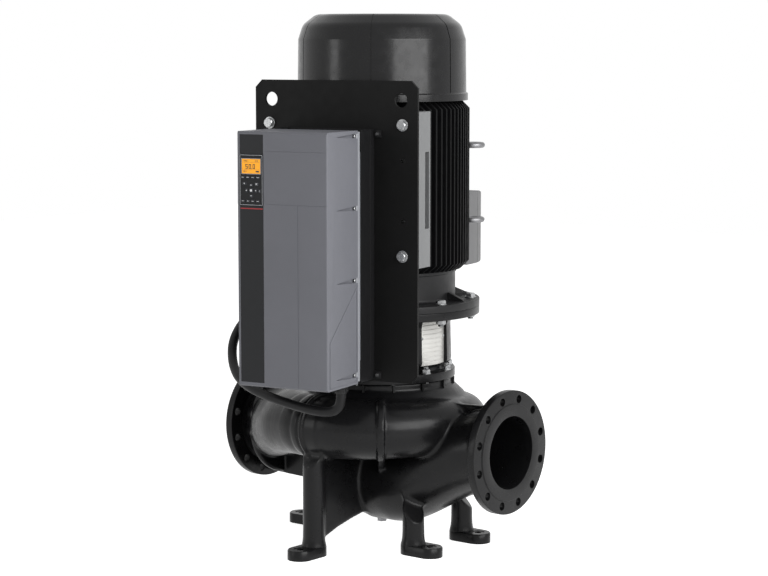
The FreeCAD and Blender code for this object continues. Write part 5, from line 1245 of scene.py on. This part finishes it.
def gland():
    """A cable gland that hangs from zero: hexagon, ribbed cap and rubber lip."""
    nut = aimed(hexagon(38, 0, 10), (0, 0, 0), (0, 0, -1))
    profile = rounded([(CABLE_RADIUS + 0.4, -22.5), (16.4, -22.5), (17.6, -19), (18.6, -10), (10, -10)],
                      [0, 1.2, 2, 0, 0])
    cap = lathe(profile, 72)
    rib = box((17.2, -0.7, -18.4), (19.4, 0.7, -10.4))
    ribs = around(rib, [20 * number for number in range(18)])
    lip_hole = CABLE_RADIUS - 0.2
    lip = lathe(rounded([(lip_hole, -24), (14.6, -24), (15.2, -21), (lip_hole, -21)], 0.5), 48)
    return nut + cap + ribs + lip + disc(15, -1, 7, 40)


def make_glands():
    """One gland under the converter and one under the terminal box, where the cable starts and ends."""
    first = gland().shifted(*CABLE_ROUTE[0][:2], CONVERTER_LOW)
    second = gland().shifted(*CABLE_ROUTE[-1][:2], BOX_LOW)
    head_piece("cable_glands_skin", first + second, "gland_plastic", "cable_glands")


def make_cable():
    """The motor cable, one smooth curve from gland to gland."""
    data = bpy.data.curves.new("motor_cable_skin", "CURVE")
    data.dimensions = "3D"
    data.resolution_u = 8
    data.bevel_depth = CABLE_RADIUS * MM
    data.bevel_resolution = 8
    data.use_fill_caps = True
    spline = data.splines.new("NURBS")
    spline.points.add(len(CABLE_ROUTE) - 1)
    head = about_z(HEAD_TURN)
    for point, place in zip(spline.points, CABLE_ROUTE):
        point.co = (*(head @ Vector(place) * MM), 1.0)
    spline.order_u = 3
    spline.use_endpoint_u = True
    thing = bpy.data.objects.new("motor_cable_skin", data)
    bpy.context.scene.collection.objects.link(thing)
    data.materials.append(FINISHES["cable_black"])
    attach(thing, "pump")
    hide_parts("motor_cable")


make_casing()
make_studs()
make_flange_bolts()
make_plate_bolts()
make_cover_screws()
make_stool()
make_guards()
make_drive_shield()
make_motor_frame()
make_eyebolts()
make_fan_cover()
make_terminal_box()
make_plate()
make_channel()
make_base_frame()
make_cover()
make_strip()
make_keypad()
make_display()
make_keys()
make_glands()
make_cable()


# Camera, light and floor

def make_camera():
    """The photograph's view, for a picture of 768 by 576, with no shift."""
    yaw = radians(38.6)
    pitch = radians(6.58)
    data = bpy.data.cameras.new("camera")
    data.lens = 101.39
    data.sensor_width = 36.0
    data.clip_end = 60.0
    camera = bpy.data.objects.new("camera", data)
    camera.location = (3.789, -4.7375, 1.413)
    look = Vector((-sin(yaw) * cos(pitch), cos(yaw) * cos(pitch), -sin(pitch)))
    camera.rotation_euler = look.to_track_quat("-Z", "Y").to_euler()
    bpy.context.scene.collection.objects.link(camera)
    bpy.context.scene.camera = camera


def area_light(name, at, target, width, height, power):
    data = bpy.data.lights.new(name, "AREA")
    data.shape = "RECTANGLE"
    data.size = width
    data.size_y = height
    data.energy = power
    lamp = bpy.data.objects.new(name, data)
    lamp.location = at
    lamp.rotation_euler = (Vector(target) - Vector(at)).to_track_quat("-Z", "Y").to_euler()
    bpy.context.scene.collection.objects.link(lamp)
    return lamp


def seen(tree):
    """One for camera, glossy and transmitted rays, nothing for the rest."""
    rays = tree.nodes.new("ShaderNodeLightPath")
    total = rays.outputs["Is Camera Ray"]
    for name in ("Is Glossy Ray", "Is Transmission Ray"):
        node = tree.nodes.new("ShaderNodeMath")
        node.operation = "MAXIMUM"
        tree.links.new(total, node.inputs[0])
        tree.links.new(rays.outputs[name], node.inputs[1])
        total = node.outputs[0]
    return total


def make_world(ambient=0.20):
    world = bpy.data.worlds.new("studio")
    bpy.context.scene.world = world
    world.use_nodes = True
    tree = world.node_tree
    background = tree.nodes["Background"]
    background.inputs["Color"].default_value = (1.0, 1.0, 1.0, 1.0)
    strength = ranged(tree, seen(tree), ambient, 1.0, 0.0, 1.0)
    tree.links.new(strength, background.inputs["Strength"])


def make_floor():
    floor = object_of("studio_floor", box((-9000, -9000, -12), (9000, 9000, 0)))
    material = bpy.data.materials.new("floor")
    material.use_nodes = True
    tree = material.node_tree
    shader = tree.nodes["Principled BSDF"]
    set_inputs(shader, {"Base Color": (0.86, 0.86, 0.86, 1.0), "Roughness": 0.8, "Specular IOR Level": 0.2,
                        "Emission Color": (1.0, 1.0, 1.0, 1.0)})
    strength = ranged(tree, seen(tree), 0.0, 0.93, 0.0, 1.0)
    tree.links.new(strength, shader.inputs["Emission Strength"])
    floor.data.materials.append(material)


def make_studio():
    make_camera()
    make_world()
    make_floor()
    area_light("key_right", (4.3, -0.9, 2.4), (0.0, 0.0, 0.8), 4.2, 2.4, 215)
    area_light("fill_front", (-2.2, -4.2, 1.5), (0.0, 0.0, 0.6), 1.0, 1.8, 20)
    bpy.context.scene.view_settings.view_transform = "Standard"


def dress_nodes():
    """Give every node that still shows the finish of its slot."""
    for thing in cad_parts.values():
        for slot in thing.material_slots:
            name = slot.material.name.split(".")[0] if slot.material else ""
            if name in FINISHES:
                slot.material = FINISHES[name]


dress_nodes()
make_studio()
